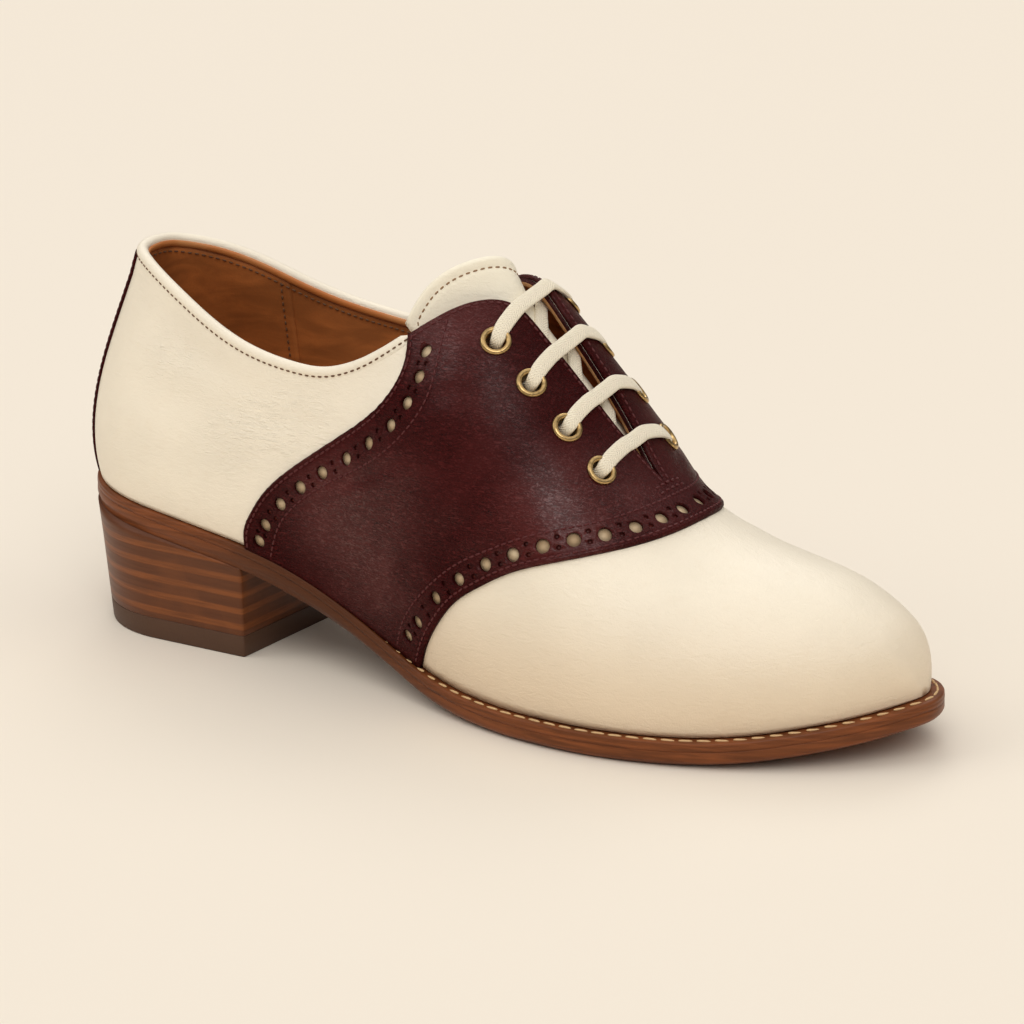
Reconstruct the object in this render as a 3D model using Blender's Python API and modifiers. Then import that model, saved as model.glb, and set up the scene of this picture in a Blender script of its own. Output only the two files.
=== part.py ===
"""Right saddle shoe with a stacked leather heel, modelled round one last, for Blender 4.5.

A short table of sections gives the last's feather line, where the wall meets the sole, and its
top line, which runs round the collar, over the facings and along the instep to the toe. The
upper, saddle, backstay and tongue are all cut from the surface between those two lines, and the
welt, outsole and insole from the feather line. Lengths are in millimetres. +X runs forward from
heel to toe, +Y to the inner side of the foot, +Z up. The origin is on the floor, in the middle
of the heel's top piece.
"""
import math
from collections import namedtuple

import bmesh
import bpy
import numpy as np
from mathutils import Matrix, Vector

NAME = "saddle_shoe"
MM = 0.001
GAP = 0.3
SADDLE_GAP = 0.5

# Leather and sole thicknesses
WALL = 2.0
SADDLE_THICK = 1.2
BACKSTAY_THICK = 0.7
TONGUE_THICK = 1.8
BINDING_RADIUS = 1.4
INSOLE_THICK = 3.2
WELT_THICK = 2.4
OUTSOLE_THICK = 4.0

# Stacked heel
BREAST_X = 28.0
TOP_PIECE_THICK = 6.0
LIFT_THICK = 4.3
LIFT_COUNT = 4
HEEL_FLOOR_RADIUS = 27.9
HEEL_SEAT_RADIUS = 29.3
HEEL_FLOOR_CENTRE = -2.7
HEEL_SEAT_CENTRE = -5.2
HEEL_SEAT_HEIGHT = 35.0
INNER_BREAST_TAPER = 2.2
OUTER_BREAST_TAPER = 0.4

# Eyelets and lace
EYELET_BORE = 4.4
EYELET_BARREL = 5.2
EYELET_FLANGE = 8.0
EYELET_HOLE = 6.0
EYELET_SIDES = 10
LACE_WIDTH = 4.6
LACE_WIDTH_IN_BORE = 3.0
LACE_THICK = 1.9

# One row for each section of the last, from the heel's back to the toe. x and z: the feather
# line. lateral and medial: its outer and inner half width. top_x, top_y and top_z: the middle
# of the top line, half: its half opening, rise: how much higher its inner side is. fan: degrees
# by which the section turns round the heel. low and lean: length and outward lean of the wall's
# handle at the feather. high and drop: length and downward slope of the handle at the top.
Section = namedtuple("Section", "x z lateral medial top_x top_y half top_z rise fan low lean high drop")
SECTIONS = [
    Section(-33.5, 41.3, 0.0, 0.0, -21.0, 0.0, 0.0, 103.0, 0.0, 90, 20, 15, 22, 72),
    Section(-29.5, 40.8, 14.6, 14.6, -18.8, 0.0, 8.8, 102.3, 0.0, 60, 20, 15, 22, 72),
    Section(-21.0, 39.7, 22.8, 22.8, -12.5, 0.0, 14.0, 100.6, 0.3, 35, 20, 14, 22, 74),
    Section(-9.0, 38.2, 27.3, 27.0, -5.0, 0.0, 17.7, 98.0, 0.8, 18, 20, 12, 22, 77),
    Section(4.0, 36.4, 28.2, 27.8, 4.5, 0.0, 20.8, 94.0, 1.4, 8, 20, 11, 20, 80),
    Section(16.0, 34.5, 28.1, 27.0, 16.0, 0.0, 23.4, 88.9, 2.0, 3, 20, 11, 18, 82),
    Section(30.0, 32.1, 27.9, 25.0, 30.0, 0.0, 25.4, 84.3, 2.7, 0, 18, 12, 16, 84),
    Section(44.0, 28.3, 27.4, 22.6, 44.0, 0.0, 25.9, 82.0, 3.0, 0, 18, 14, 15, 84),
    Section(58.0, 22.8, 27.2, 21.4, 57.0, 0.0, 24.7, 82.5, 2.8, 0, 20, 16, 16, 80),
    Section(70.0, 17.8, 28.2, 21.7, 69.0, 0.0, 21.9, 88.0, 2.4, 0, 26, 16, 20, 66),
    Section(80.0, 13.7, 29.8, 23.0, 79.0, 0.0, 18.2, 94.8, 2.0, 0, 32, 15, 23, 50),
    Section(88.0, 11.0, 31.9, 24.8, 87.0, 0.2, 13.7, 100.6, 2.0, 0, 36, 13, 25, 37),
    Section(96.0, 9.1, 34.2, 27.0, 94.0, 0.5, 9.3, 103.6, 2.4, 0, 39, 11, 26, 25),
    Section(103.0, 8.0, 36.0, 29.0, 100.6, 0.8, 6.4, 103.0, 2.6, 0, 40, 10, 26, 17),
    Section(111.0, 7.3, 37.7, 31.2, 108.2, 0.9, 5.2, 96.6, 2.4, 0, 38, 9, 26, 11),
    Section(122.0, 6.9, 39.4, 34.0, 119.2, 0.8, 4.2, 85.2, 1.8, 0, 35, 8, 26, 5),
    Section(133.0, 6.9, 40.0, 36.7, 131.2, 0.5, 2.6, 72.2, 1.0, 0, 31, 8, 26, 1),
    Section(143.0, 6.9, 39.6, 38.3, 142.0, 0.1, 0.0, 61.3, 0.0, 0, 28, 8, 25, 0),
    Section(154.0, 6.9, 37.7, 39.2, 154.0, 1.2, 0.0, 53.4, 0.0, 0, 25, 8, 25, 0),
    Section(166.0, 7.2, 34.3, 38.8, 166.0, 2.4, 0.0, 48.5, 0.0, 0, 23, 9, 24, 0),
    Section(180.0, 8.2, 28.4, 36.6, 180.0, 3.8, 0.0, 45.2, 0.0, 0, 21, 10, 22, 0),
    Section(192.0, 10.1, 21.3, 32.8, 192.0, 5.0, 0.0, 42.0, 0.0, 0, 18, 10, 19, 0),
    Section(204.0, 12.6, 11.8, 25.6, 203.6, 5.8, 0.0, 36.2, 0.0, 0, 14, 10, 15, 0),
    Section(212.5, 14.8, 1.5, 16.0, 212.0, 6.0, 0.0, 27.6, 0.0, 0, 8, 8, 9, 0),
    Section(216.0, 15.9, -6.0, 6.0, 216.0, 6.0, 0.0, 15.9, 0.0, 0, 0, 4, 0, 0),
]
THROAT_ROW = 17
LEVEL_AT_HEEL = {"x", "z", "top_x", "top_y", "top_z", "rise", "low", "lean", "high", "drop"}
LEVEL_AT_TOE = {"x", "z", "top_x", "top_y", "rise", "fan", "lean", "drop"}

# The sole's edge stands out past the feather line by this much, at each place along the shoe
Edge = namedtuple("Edge", "x margin")
EDGES = [
    Edge(-33.5, 1.0),
    Edge(20.0, 1.1),
    Edge(60.0, 1.8),
    Edge(95.0, 2.6),
    Edge(140.0, 3.2),
    Edge(216.0, 3.6),
]
WELT_INSET = 3.2
INSOLE_INSET = 3.6

# Columns of faces between one section and the next, from heel to toe
SOLE_STEPS = [2] * 4 + [1] * 10 + [2] * 10
UPPER_STEPS = [2] * 4 + [1] * 4 + [2] + [3] * 5 + [2] * 10

# Heights of the upper's rows of faces, as shares of the wall from the sole to the top line
UPPER_HEIGHTS = [0, 0.12, 0.24, 0.35, 0.47, 0.6, 0.72, 0.82, 0.91, 1]

# The saddle's rear and front edges, as places along the feather line, for each of those heights
SaddleRow = namedtuple("SaddleRow", "height rear front")
SADDLE = [
    SaddleRow(0.025, 79.4, 144.6),
    SaddleRow(0.12, 80.2, 151.0),
    SaddleRow(0.24, 83.4, 163.1),
    SaddleRow(0.295, 85.4, 169.9),
    SaddleRow(0.35, 87.5, 176.8),
    SaddleRow(0.41, 90.1, 185.0),
    SaddleRow(0.47, 93.2, 190.9),
    SaddleRow(0.6, 102.2, 198.9),
    SaddleRow(0.72, 114.4, 204.0),
    SaddleRow(0.82, 129.2, 207.0),
    SaddleRow(0.91, 132.0, 208.3),
    SaddleRow(1.0, 131.2, 208.7),
]

# Eyelets, as places along the feather line and shares of the wall's height
EyeletPlace = namedtuple("EyeletPlace", "place height")
EYELETS = [
    EyeletPlace(158.7, 0.842),
    EyeletPlace(170.0, 0.822),
    EyeletPlace(180.4, 0.811),
    EyeletPlace(189.4, 0.801),
]

BACKSTAY_PLACE = 16.5
BINDING_END_PLACE = 128.6

# The tongue as arched sections square to the line of its middle, from under the vamp to its
# rounded end above the collar. half: half width. depth: how far its edges drop below the middle.
TongueRow = namedtuple("TongueRow", "x z half depth")
TONGUE = [
    TongueRow(156.0, 46.6, 14.0, 3.5),
    TongueRow(148.5, 52.4, 16.0, 5.5),
    TongueRow(141.0, 58.7, 17.0, 7.5),
    TongueRow(130.0, 69.8, 18.0, 11.0),
    TongueRow(118.0, 82.8, 17.5, 14.5),
    TongueRow(107.0, 94.2, 16.5, 17.0),
    TongueRow(99.2, 102.2, 13.0, 17.0),
    TongueRow(95.4, 107.6, 12.5, 16.0),
    TongueRow(93.2, 111.8, 12.0, 12.5),
    TongueRow(91.9, 114.6, 9.5, 7.5),
    TongueRow(91.3, 116.2, 4.0, 1.5),
]

SIDES = {"outer": -1, "inner": 1}

# Colour, roughness and metallic of each material
FINISHES = {
    "cream_leather": ((0.87, 0.77, 0.61), 0.45, 0.0),
    "burgundy_leather": ((0.075, 0.012, 0.014), 0.32, 0.0),
    "tan_leather": ((0.27, 0.10, 0.03), 0.6, 0.0),
    "sole_leather": ((0.17, 0.055, 0.022), 0.4, 0.0),
    "heel_leather": ((0.13, 0.05, 0.024), 0.42, 0.0),
    "top_piece_rubber": ((0.09, 0.042, 0.024), 0.6, 0.0),
    "aged_brass": ((0.32, 0.21, 0.09), 0.35, 1.0),
    "lace_cotton": ((0.80, 0.70, 0.55), 0.85, 0.0),
}


def spline(knots, values, level_start, level_end):
    """Cubic spline through the values, level or straight at each end."""
    count = len(knots)
    step = np.diff(knots)
    slope = np.diff(values) / step
    matrix = np.zeros((count, count))
    right = np.zeros(count)
    for i in range(1, count - 1):
        matrix[i, i - 1:i + 2] = step[i - 1], 2 * (step[i - 1] + step[i]), step[i]
        right[i] = 6 * (slope[i] - slope[i - 1])
    matrix[0, 0] = matrix[-1, -1] = 1
    if level_start:
        matrix[0, :2] = 2 * step[0], step[0]
        right[0] = 6 * slope[0]
    if level_end:
        matrix[-1, -2:] = step[-1], 2 * step[-1]
        right[-1] = -6 * slope[-1]
    bend = np.linalg.solve(matrix, right)

    def value_at(place):
        place = min(max(place, knots[0]), knots[-1])
        i = min(max(int(np.searchsorted(knots, place, side="right")) - 1, 0), count - 2)
        before = place - knots[i]
        after = knots[i + 1] - place
        width = step[i]
        curve = (bend[i] * after ** 3 + bend[i + 1] * before ** 3) / (6 * width)
        line = (values[i] / width - bend[i] * width / 6) * after
        line += (values[i + 1] / width - bend[i + 1] * width / 6) * before
        return float(curve + line)

    return value_at


FEATHER_POINTS = np.array([(row.x, row.lateral, row.z) for row in SECTIONS])
ROW_PLACES = np.r_[0, np.cumsum(np.linalg.norm(np.diff(FEATHER_POINTS, axis=0), axis=1))]
TOE_PLACE = float(ROW_PLACES[-1])
THROAT_PLACE = float(ROW_PLACES[THROAT_ROW])
COLUMN = {
    name: spline(
        ROW_PLACES,
        np.array([getattr(row, name) for row in SECTIONS], float),
        name in LEVEL_AT_HEEL,
        name in LEVEL_AT_TOE,
    )
    for name in Section._fields
}


def feather(side, place):
    """Point on the feather line, by the distance along it from the heel's back."""
    half = COLUMN["lateral"](place) if side < 0 else COLUMN["medial"](place)
    return Vector((COLUMN["x"](place), side * half, COLUMN["z"](place)))


def outward(side, place):
    """Level direction out of the shoe at the feather line."""
    if place <= 0:
        return Vector((-1, 0, 0))
    if place >= TOE_PLACE:
        return Vector((1, 0, 0))
    run = feather(side, place + 0.05) - feather(side, place - 0.05)
    return Vector((-side * run.y, side * run.x, 0)).normalized()


def top_point(side, place):
    """Point on the top line. The two sides meet from the throat to the toe."""
    x, y, z = (COLUMN[name](place) for name in ("top_x", "top_y", "top_z"))
    if place >= THROAT_PLACE:
        return Vector((x, y, z))
    y += side * max(COLUMN["half"](place), 0)
    if side > 0:
        z += max(COLUMN["rise"](place), 0)
    return Vector((x, y, z))


def wall(side, place, height):
    """Point on the last's wall: a curve from the feather line, height 0, to the top, height 1."""
    foot = feather(side, place)
    head = top_point(side, place)
    lean = math.radians(COLUMN["lean"](place))
    fan = math.radians(COLUMN["fan"](place))
    slope = 0 if place >= THROAT_PLACE else math.radians(max(COLUMN["drop"](place), 0))
    foot_handle = outward(side, place) * math.sin(lean) + Vector((0, 0, math.cos(lean)))
    level = Vector((-math.sin(fan), side * math.cos(fan), 0))
    head_handle = level * math.cos(slope) - Vector((0, 0, math.sin(slope)))
    low = foot + foot_handle * max(COLUMN["low"](place), 0)
    high = head + head_handle * max(COLUMN["high"](place), 0)
    rest = 1 - height
    return rest ** 3 * foot + 3 * rest ** 2 * height * low + 3 * rest * height ** 2 * high + height ** 3 * head


def wall_normal(side, place, height):
    """Direction out of the wall."""
    along = wall(side, min(place + 0.2, TOE_PLACE), height)
    along -= wall(side, max(place - 0.2, 0), height)
    across = wall(side, place, min(height + 0.002, 1))
    across -= wall(side, place, max(height - 0.002, 0))
    return (across.cross(along) * side).normalized()


def off_wall(side, place, height, distance):
    """Point that lies outside the wall by a distance, or inside it for a negative one."""
    return wall(side, place, height) + wall_normal(side, place, height) * distance


def between(rows, key, field, value):
    """Value of one column of a table, read between its rows."""
    keys = [getattr(row, key) for row in rows]
    return float(np.interp(value, keys, [getattr(row, field) for row in rows]))


def stations(step_counts):
    """Places from heel to toe: each section of the table and even steps between them."""
    places = []
    for start, end, count in zip(ROW_PLACES[:-1], ROW_PLACES[1:], step_counts):
        places += [float(start + (end - start) * i / count) for i in range(count)]
    return places + [TOE_PLACE]


def material(name):
    """Principled material from the table of finishes, made once."""
    made = bpy.data.materials.get(name)
    if made:
        return made
    colour, roughness, metallic = FINISHES[name]
    made = bpy.data.materials.new(name)
    made.use_nodes = True
    shader = made.node_tree.nodes["Principled BSDF"]
    shader.inputs["Base Color"].default_value = (*colour, 1)
    shader.inputs["Roughness"].default_value = roughness
    shader.inputs["Metallic"].default_value = metallic
    made.diffuse_color = (*colour, 1)
    return made


def object_from(name, mesh, finish, collection):
    """Object for a mesh, in a collection, with its material."""
    made = bpy.data.objects.new(name, mesh)
    collection.objects.link(made)
    if finish:
        mesh.materials.append(material(finish))
    return made


def mesh_of(name, points, faces, smooth=True):
    """Mesh from points in millimetres. Points that meet are merged, and empty faces dropped."""
    work = bmesh.new()
    verts = [work.verts.new(Vector(point) * MM) for point in points]
    for face in faces:
        work.faces.new([verts[i] for i in dict.fromkeys(face)])
    bmesh.ops.remove_doubles(work, verts=work.verts, dist=0.00002)
    bmesh.ops.dissolve_degenerate(work, edges=work.edges, dist=0.00002)
    bmesh.ops.recalc_face_normals(work, faces=work.faces)
    mesh = bpy.data.meshes.new(name)
    work.to_mesh(mesh)
    work.free()
    if smooth:
        mesh.shade_smooth()
    return mesh


def grid_faces(row_count, column_count, first=0):
    """Faces of a grid of points, row by row."""
    faces = []
    for i in range(row_count - 1):
        for j in range(column_count - 1):
            a = first + i * column_count + j
            faces.append((a, a + 1, a + column_count + 1, a + column_count))
    return faces


def thicken(piece, thickness, outwards):
    """Wall of even thickness on an open surface, on the side that is named."""
    solid = piece.modifiers.new("thickness", "SOLIDIFY")
    solid.thickness = thickness * MM
    solid.offset = 1 if outwards else -1
    return solid


def face_out(mesh, centre):
    """Turn an open surface so that its faces point away from a point inside the shoe."""
    score = 0
    for face in mesh.polygons:
        score += face.normal.dot(face.center - Vector(centre) * MM) * face.area
    if score < 0:
        mesh.flip_normals()


def both_sides(heights, places, distance):
    """Points of a surface off the wall: one grid for the outer side and one for the inner."""
    points = []
    faces = []
    for side in SIDES.values():
        first = len(points)
        for height in heights:
            points += [off_wall(side, place, height, distance) for place in places]
        faces += grid_faces(len(heights), len(places), first)
    return points, faces


def upper_places():
    """Places of the upper's columns of faces, closer together beside the collar's corner."""
    return stations(UPPER_STEPS)


def make_upper(collection, holes):
    """Hollow upper: vamp, quarters and facings in one wall, open at collar, throat and sole."""
    points, faces = both_sides(UPPER_HEIGHTS, upper_places(), 0)
    mesh = mesh_of("upper", points, faces)
    face_out(mesh, (60, 0, 50))
    upper = object_from("upper", mesh, "cream_leather", collection)
    thicken(upper, WALL, outwards=False)
    cut = upper.modifiers.new("eyelet holes", "BOOLEAN")
    cut.object = holes
    return upper


def strip_between(low_row, high_row, low_first, high_first):
    """Faces between two rows of places that need not be equally long."""
    faces = []
    i = j = 0
    while i < len(low_row) - 1 or j < len(high_row) - 1:
        low_next = low_row[i + 1] if i < len(low_row) - 1 else math.inf
        high_next = high_row[j + 1] if j < len(high_row) - 1 else math.inf
        if low_next == high_next and low_row[i] == high_row[j]:
            faces.append((low_first + i, low_first + i + 1, high_first + j + 1, high_first + j))
            i += 1
            j += 1
        elif low_next <= high_next:
            faces.append((low_first + i, low_first + i + 1, high_first + j))
            i += 1
        else:
            faces.append((low_first + i, high_first + j + 1, high_first + j))
            j += 1
    return faces


def make_saddle(collection, holes):
    """Saddle: an overlay across the instep, one piece in front of the throat."""
    rows = []
    for row in SADDLE:
        inside = [place for place in upper_places() if row.rear + 1.5 < place < row.front - 1.5]
        rows.append([row.rear] + inside + [row.front])
    points = []
    faces = []
    for side in SIDES.values():
        first = len(points)
        for row, places in zip(SADDLE, rows):
            points += [saddle_point(side, place, row.height) for place in places]
        for low, high in zip(rows[:-1], rows[1:]):
            faces += strip_between(low, high, first, first + len(low))
            first += len(low)
    mesh = mesh_of("saddle", points, faces)
    face_out(mesh, (100, 0, 40))
    saddle = object_from("saddle", mesh, "burgundy_leather", collection)
    thicken(saddle, SADDLE_THICK, outwards=True)
    cut = saddle.modifiers.new("eyelet holes", "BOOLEAN")
    cut.object = holes
    return saddle


def saddle_point(side, place, height):
    """Point under the saddle. Past the throat both sides meet in the middle at the top."""
    point = off_wall(side, place, height, SADDLE_GAP)
    if height == 1 and place >= THROAT_PLACE:
        return (point + off_wall(-side, place, 1, SADDLE_GAP)) / 2
    return point


def make_backstay(collection):
    """Backstay: a strip over the back seam, from the seat to the collar."""
    heights = [0.03, 0.14, 0.26, 0.38, 0.5, 0.62, 0.74, 0.85, 0.955]
    places = [BACKSTAY_PLACE * i / 3 for i in range(4)]
    points, faces = both_sides(heights, places, GAP)
    mesh = mesh_of("backstay", points, faces)
    face_out(mesh, (0, 0, 60))
    backstay = object_from("backstay", mesh, "burgundy_leather", collection)
    thicken(backstay, BACKSTAY_THICK, outwards=True)
    return backstay


def make_binding(collection):
    """Rolled binding on the collar's edge, from one rear corner of the saddle to the other."""
    route = []
    places = [place for place in upper_places() if place < BINDING_END_PLACE - 1] + [BINDING_END_PLACE]
    for side, order in ((-1, places[::-1]), (1, places[1:])):
        for place in order:
            run = top_point(side, place + 0.2) - top_point(side, max(place - 0.2, 0))
            off_edge = run.cross(wall_normal(side, place, 1)).normalized() * side
            edge = off_wall(side, place, 1, -WALL / 2)
            route.append(edge + off_edge * (GAP + BINDING_RADIUS))
    curve = bpy.data.curves.new("collar_binding", "CURVE")
    curve.dimensions = "3D"
    curve.bevel_depth = BINDING_RADIUS * MM
    curve.bevel_resolution = 1
    curve.use_fill_caps = True
    line = curve.splines.new("POLY")
    line.points.add(len(route) - 1)
    for point, place in zip(line.points, route):
        point.co = (*(place * MM), 1)
    curve.materials.append(material("cream_leather"))
    binding = bpy.data.objects.new("collar_binding", curve)
    collection.objects.link(binding)
    caps = binding.modifiers.new("closed ends", "WELD")
    caps.merge_threshold = 0.00001
    return binding


def make_tongue(collection):
    """Tongue: an arched sheet under the facings that ends in a rounded top above the collar."""
    column_count = 11
    points = []
    for i, row in enumerate(TONGUE):
        before = TONGUE[max(i - 1, 0)]
        after = TONGUE[min(i + 1, len(TONGUE) - 1)]
        rise = Vector((after.x - before.x, 0, after.z - before.z)).normalized()
        down = rise.cross(Vector((0, 1, 0)))
        centre_y = between(SECTIONS, "x", "top_y", row.x)
        for j in range(column_count):
            share = 2 * j / (column_count - 1) - 1
            middle = Vector((row.x, centre_y, row.z))
            points.append(middle + Vector((0, row.half * share, 0)) + down * row.depth * share ** 2)
    mesh = mesh_of("tongue", points, grid_faces(len(TONGUE), column_count))
    face_out(mesh, (90, 0, 40))
    tongue = object_from("tongue", mesh, "cream_leather", collection)
    thicken(tongue, TONGUE_THICK, outwards=False)
    return tongue


def sole_margin(place):
    """How far the sole's edge stands out past the feather line."""
    return between(EDGES, "x", "margin", COLUMN["x"](place))


def sole_point(side, place, margin, below):
    """Point beside the feather line and below it, never under the floor."""
    point = feather(side, place) + outward(side, place) * margin
    point.z = max(point.z - below, 0)
    return point


def sole_loop(margin_at, below):
    """Closed loop of points round the shoe, beside and below the feather line."""
    places = stations(SOLE_STEPS)
    outer = [sole_point(-1, place, margin_at(place), below) for place in places]
    inner = [sole_point(1, place, margin_at(place), below) for place in places]
    return outer + inner[-2:0:-1]


def ring_faces(count, lower, upper):
    """Faces between two closed loops of points."""
    return [(lower + i, lower + (i + 1) % count, upper + (i + 1) % count, upper + i) for i in range(count)]


def strip_faces(count, first):
    """Faces across a closed loop, from one side of the shoe to the other."""
    return [(first + i, first + i + 1, first + (count - i - 1) % count, first + (count - i) % count)
            for i in range(count // 2)]


def make_welt(collection):
    """Welt: a strip round the whole shoe that carries the upper's lower edge."""
    bottom = GAP + WELT_THICK
    loops = [
        sole_loop(lambda place: -WELT_INSET, bottom),
        sole_loop(sole_margin, bottom),
        sole_loop(sole_margin, GAP),
        sole_loop(lambda place: -WELT_INSET, GAP),
    ]
    count = len(loops[0])
    points = [point for loop in loops for point in loop]
    faces = []
    for i in range(4):
        faces += ring_faces(count, i * count, (i + 1) % 4 * count)
    mesh = mesh_of("welt", points, faces, smooth=False)
    return object_from("welt", mesh, "sole_leather", collection)


def plate(name, loops, finish, collection):
    """Plate between a bottom and a top loop, each with an inner loop beside its edge."""
    count = len(loops[0])
    points = [point for loop in loops for point in loop]
    faces = strip_faces(count, 0)
    for i in range(len(loops) - 1):
        faces += ring_faces(count, i * count, (i + 1) * count)
    faces += strip_faces(count, (len(loops) - 1) * count)
    mesh = mesh_of(name, points, faces, smooth=False)
    return object_from(name, mesh, finish, collection)


def make_outsole(collection):
    """Outsole: full length, flat under the ball, sprung at the toe, rising over the shank."""
    top = GAP + WELT_THICK + GAP
    loops = [
        sole_loop(lambda place: -WELT_INSET, top + OUTSOLE_THICK),
        sole_loop(sole_margin, top + OUTSOLE_THICK),
        sole_loop(sole_margin, top),
        sole_loop(lambda place: -WELT_INSET, top),
    ]
    return plate("outsole", loops, "sole_leather", collection)


def make_insole(collection):
    """Insole inside the welt, resting on the outsole."""
    bottom = WELT_THICK + GAP
    loops = [
        sole_loop(lambda place: -INSOLE_INSET, bottom),
        sole_loop(lambda place: -INSOLE_INSET, bottom - INSOLE_THICK),
    ]
    return plate("insole", loops, "tan_leather", collection)


def heel_outline(height):
    """Outline of the stacked heel at a height: a round back, straight sides and the breast."""
    share = height / HEEL_SEAT_HEIGHT
    radius = HEEL_FLOOR_RADIUS + (HEEL_SEAT_RADIUS - HEEL_FLOOR_RADIUS) * share
    centre = HEEL_FLOOR_CENTRE + (HEEL_SEAT_CENTRE - HEEL_FLOOR_CENTRE) * share
    step_count = 16
    outline = []
    for i in range(step_count + 1):
        angle = math.pi / 2 + math.pi * i / step_count
        outline.append((centre + radius * math.cos(angle), radius * math.sin(angle)))
    outline.append((BREAST_X, -radius + OUTER_BREAST_TAPER))
    outline.append((BREAST_X, radius - INNER_BREAST_TAPER))
    return outline


def seat_height(x):
    """Height of the outsole's underside above the heel."""
    places = stations(SOLE_STEPS)
    depth = GAP + WELT_THICK + GAP + OUTSOLE_THICK
    return float(np.interp(x, [COLUMN["x"](p) for p in places], [COLUMN["z"](p) - depth for p in places]))


def make_heel_layer(name, low, high, finish, collection):
    """One layer of the heel between two level faces, or up to the seat where high is None."""
    lower = [Vector((x, y, low)) for x, y in heel_outline(low)]
    if high is None:
        upper = [Vector((x, y, seat_height(x) - GAP)) for x, y in heel_outline(HEEL_SEAT_HEIGHT)]
    else:
        upper = [Vector((x, y, high)) for x, y in heel_outline(high)]
    count = len(lower)
    faces = [tuple(range(count)), tuple(range(2 * count - 1, count - 1, -1))]
    if high is None:
        faces[1:] = wedge_top_faces(count)
    faces += ring_faces(count, 0, count)
    mesh = mesh_of(name, lower + upper, faces, smooth=False)
    return object_from(name, mesh, finish, collection)


def wedge_top_faces(count):
    """Faces across the wedge's curved top: pairs of points on its two sides, back to breast."""
    back = (count - 3) // 2
    faces = []
    for i in range(back):
        a = count + back - i
        b = count + back + i
        faces.append((a, a - 1, b + 1, b))
    faces.append((count, 2 * count - 1, 2 * count - 2, 2 * count - 3))
    return faces


def make_heel(collection):
    """Top piece, level lifts and the wedge that carries the seat."""
    make_heel_layer("top_piece", 0, TOP_PIECE_THICK, "top_piece_rubber", collection)
    low = TOP_PIECE_THICK + GAP
    for i in range(LIFT_COUNT):
        make_heel_layer(f"heel_lift_{i + 1}", low, low + LIFT_THICK, "heel_leather", collection)
        low += LIFT_THICK + GAP
    make_heel_layer("heel_wedge", low, None, "heel_leather", collection)


def eyelet_frame(side, spot):
    """Place and turn of an eyelet: its axis along the wall's normal."""
    normal = wall_normal(side, spot.place, spot.height)
    turn = normal.to_track_quat("Z", "X").to_matrix().to_4x4()
    return Matrix.Translation(wall(side, spot.place, spot.height) * MM) @ turn


def make_hole_cutters(collection):
    """Eight round cutters, one through each eyelet's place."""
    work = bmesh.new()
    for side in SIDES.values():
        for spot in EYELETS:
            bmesh.ops.create_cone(
                work,
                cap_ends=True,
                segments=EYELET_SIDES,
                radius1=EYELET_HOLE / 2 * MM,
                radius2=EYELET_HOLE / 2 * MM,
                depth=9 * MM,
                matrix=eyelet_frame(side, spot),
            )
    mesh = bpy.data.meshes.new("eyelet_cutters")
    work.to_mesh(mesh)
    work.free()
    cutters = object_from("eyelet_cutters", mesh, None, collection)
    cutters.hide_render = True
    cutters.display_type = "WIRE"
    return cutters


def make_eyelets(collection):
    """Eyelets: a turned brass ring with a barrel through saddle and upper."""
    bore, barrel, flange = EYELET_BORE / 2, EYELET_BARREL / 2, EYELET_FLANGE / 2
    face = SADDLE_GAP + SADDLE_THICK + GAP
    profile = [
        (flange - 0.2, face),
        (barrel, face),
        (barrel, -WALL - 0.1),
        (bore, -WALL - 0.1),
        (bore, face + 0.5),
        (bore + 0.5, face + 0.9),
        (flange - 0.6, face + 0.9),
        (flange, face + 0.3),
    ]
    for label, side in SIDES.items():
        for i, spot in enumerate(EYELETS):
            mesh = bpy.data.meshes.new(f"eyelet_{label}_{i + 1}")
            edges = [(k, (k + 1) % len(profile)) for k in range(len(profile))]
            mesh.from_pydata([(r * MM, 0, z * MM) for r, z in profile], edges, [])
            ring = object_from(mesh.name, mesh, "aged_brass", collection)
            screw = ring.modifiers.new("turned", "SCREW")
            screw.steps = EYELET_SIDES
            screw.render_steps = EYELET_SIDES
            screw.use_merge_vertices = True
            screw.merge_threshold = 0.00001
            screw.use_normal_calculate = True
            ring.matrix_world = eyelet_frame(side, spot)


def lace_route(spot):
    """Route of one bar: out of an eyelet, over the two facings and into the other eyelet."""
    ends = {}
    for side in SIDES.values():
        ends[side] = wall(side, spot.place, spot.height), wall_normal(side, spot.place, spot.height)
    top = SADDLE_GAP + SADDLE_THICK + GAP + LACE_THICK / 2
    near, near_normal = ends[-1]
    far, far_normal = ends[1]
    route = [near - near_normal * 0.8, near + near_normal * 1.4, near + near_normal * (top + 1.4)]
    for side, height in ((-1, 0.91), (-1, 0.965), (-1, 1), (1, 1), (1, 0.965), (1, 0.91)):
        lift = top + 0.9 if height < 0.95 else top + 0.7
        route.append(off_wall(side, spot.place, height, lift))
    route += [far + far_normal * (top + 1.4), far + far_normal * 1.4, far - far_normal * 0.8]
    return route


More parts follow.
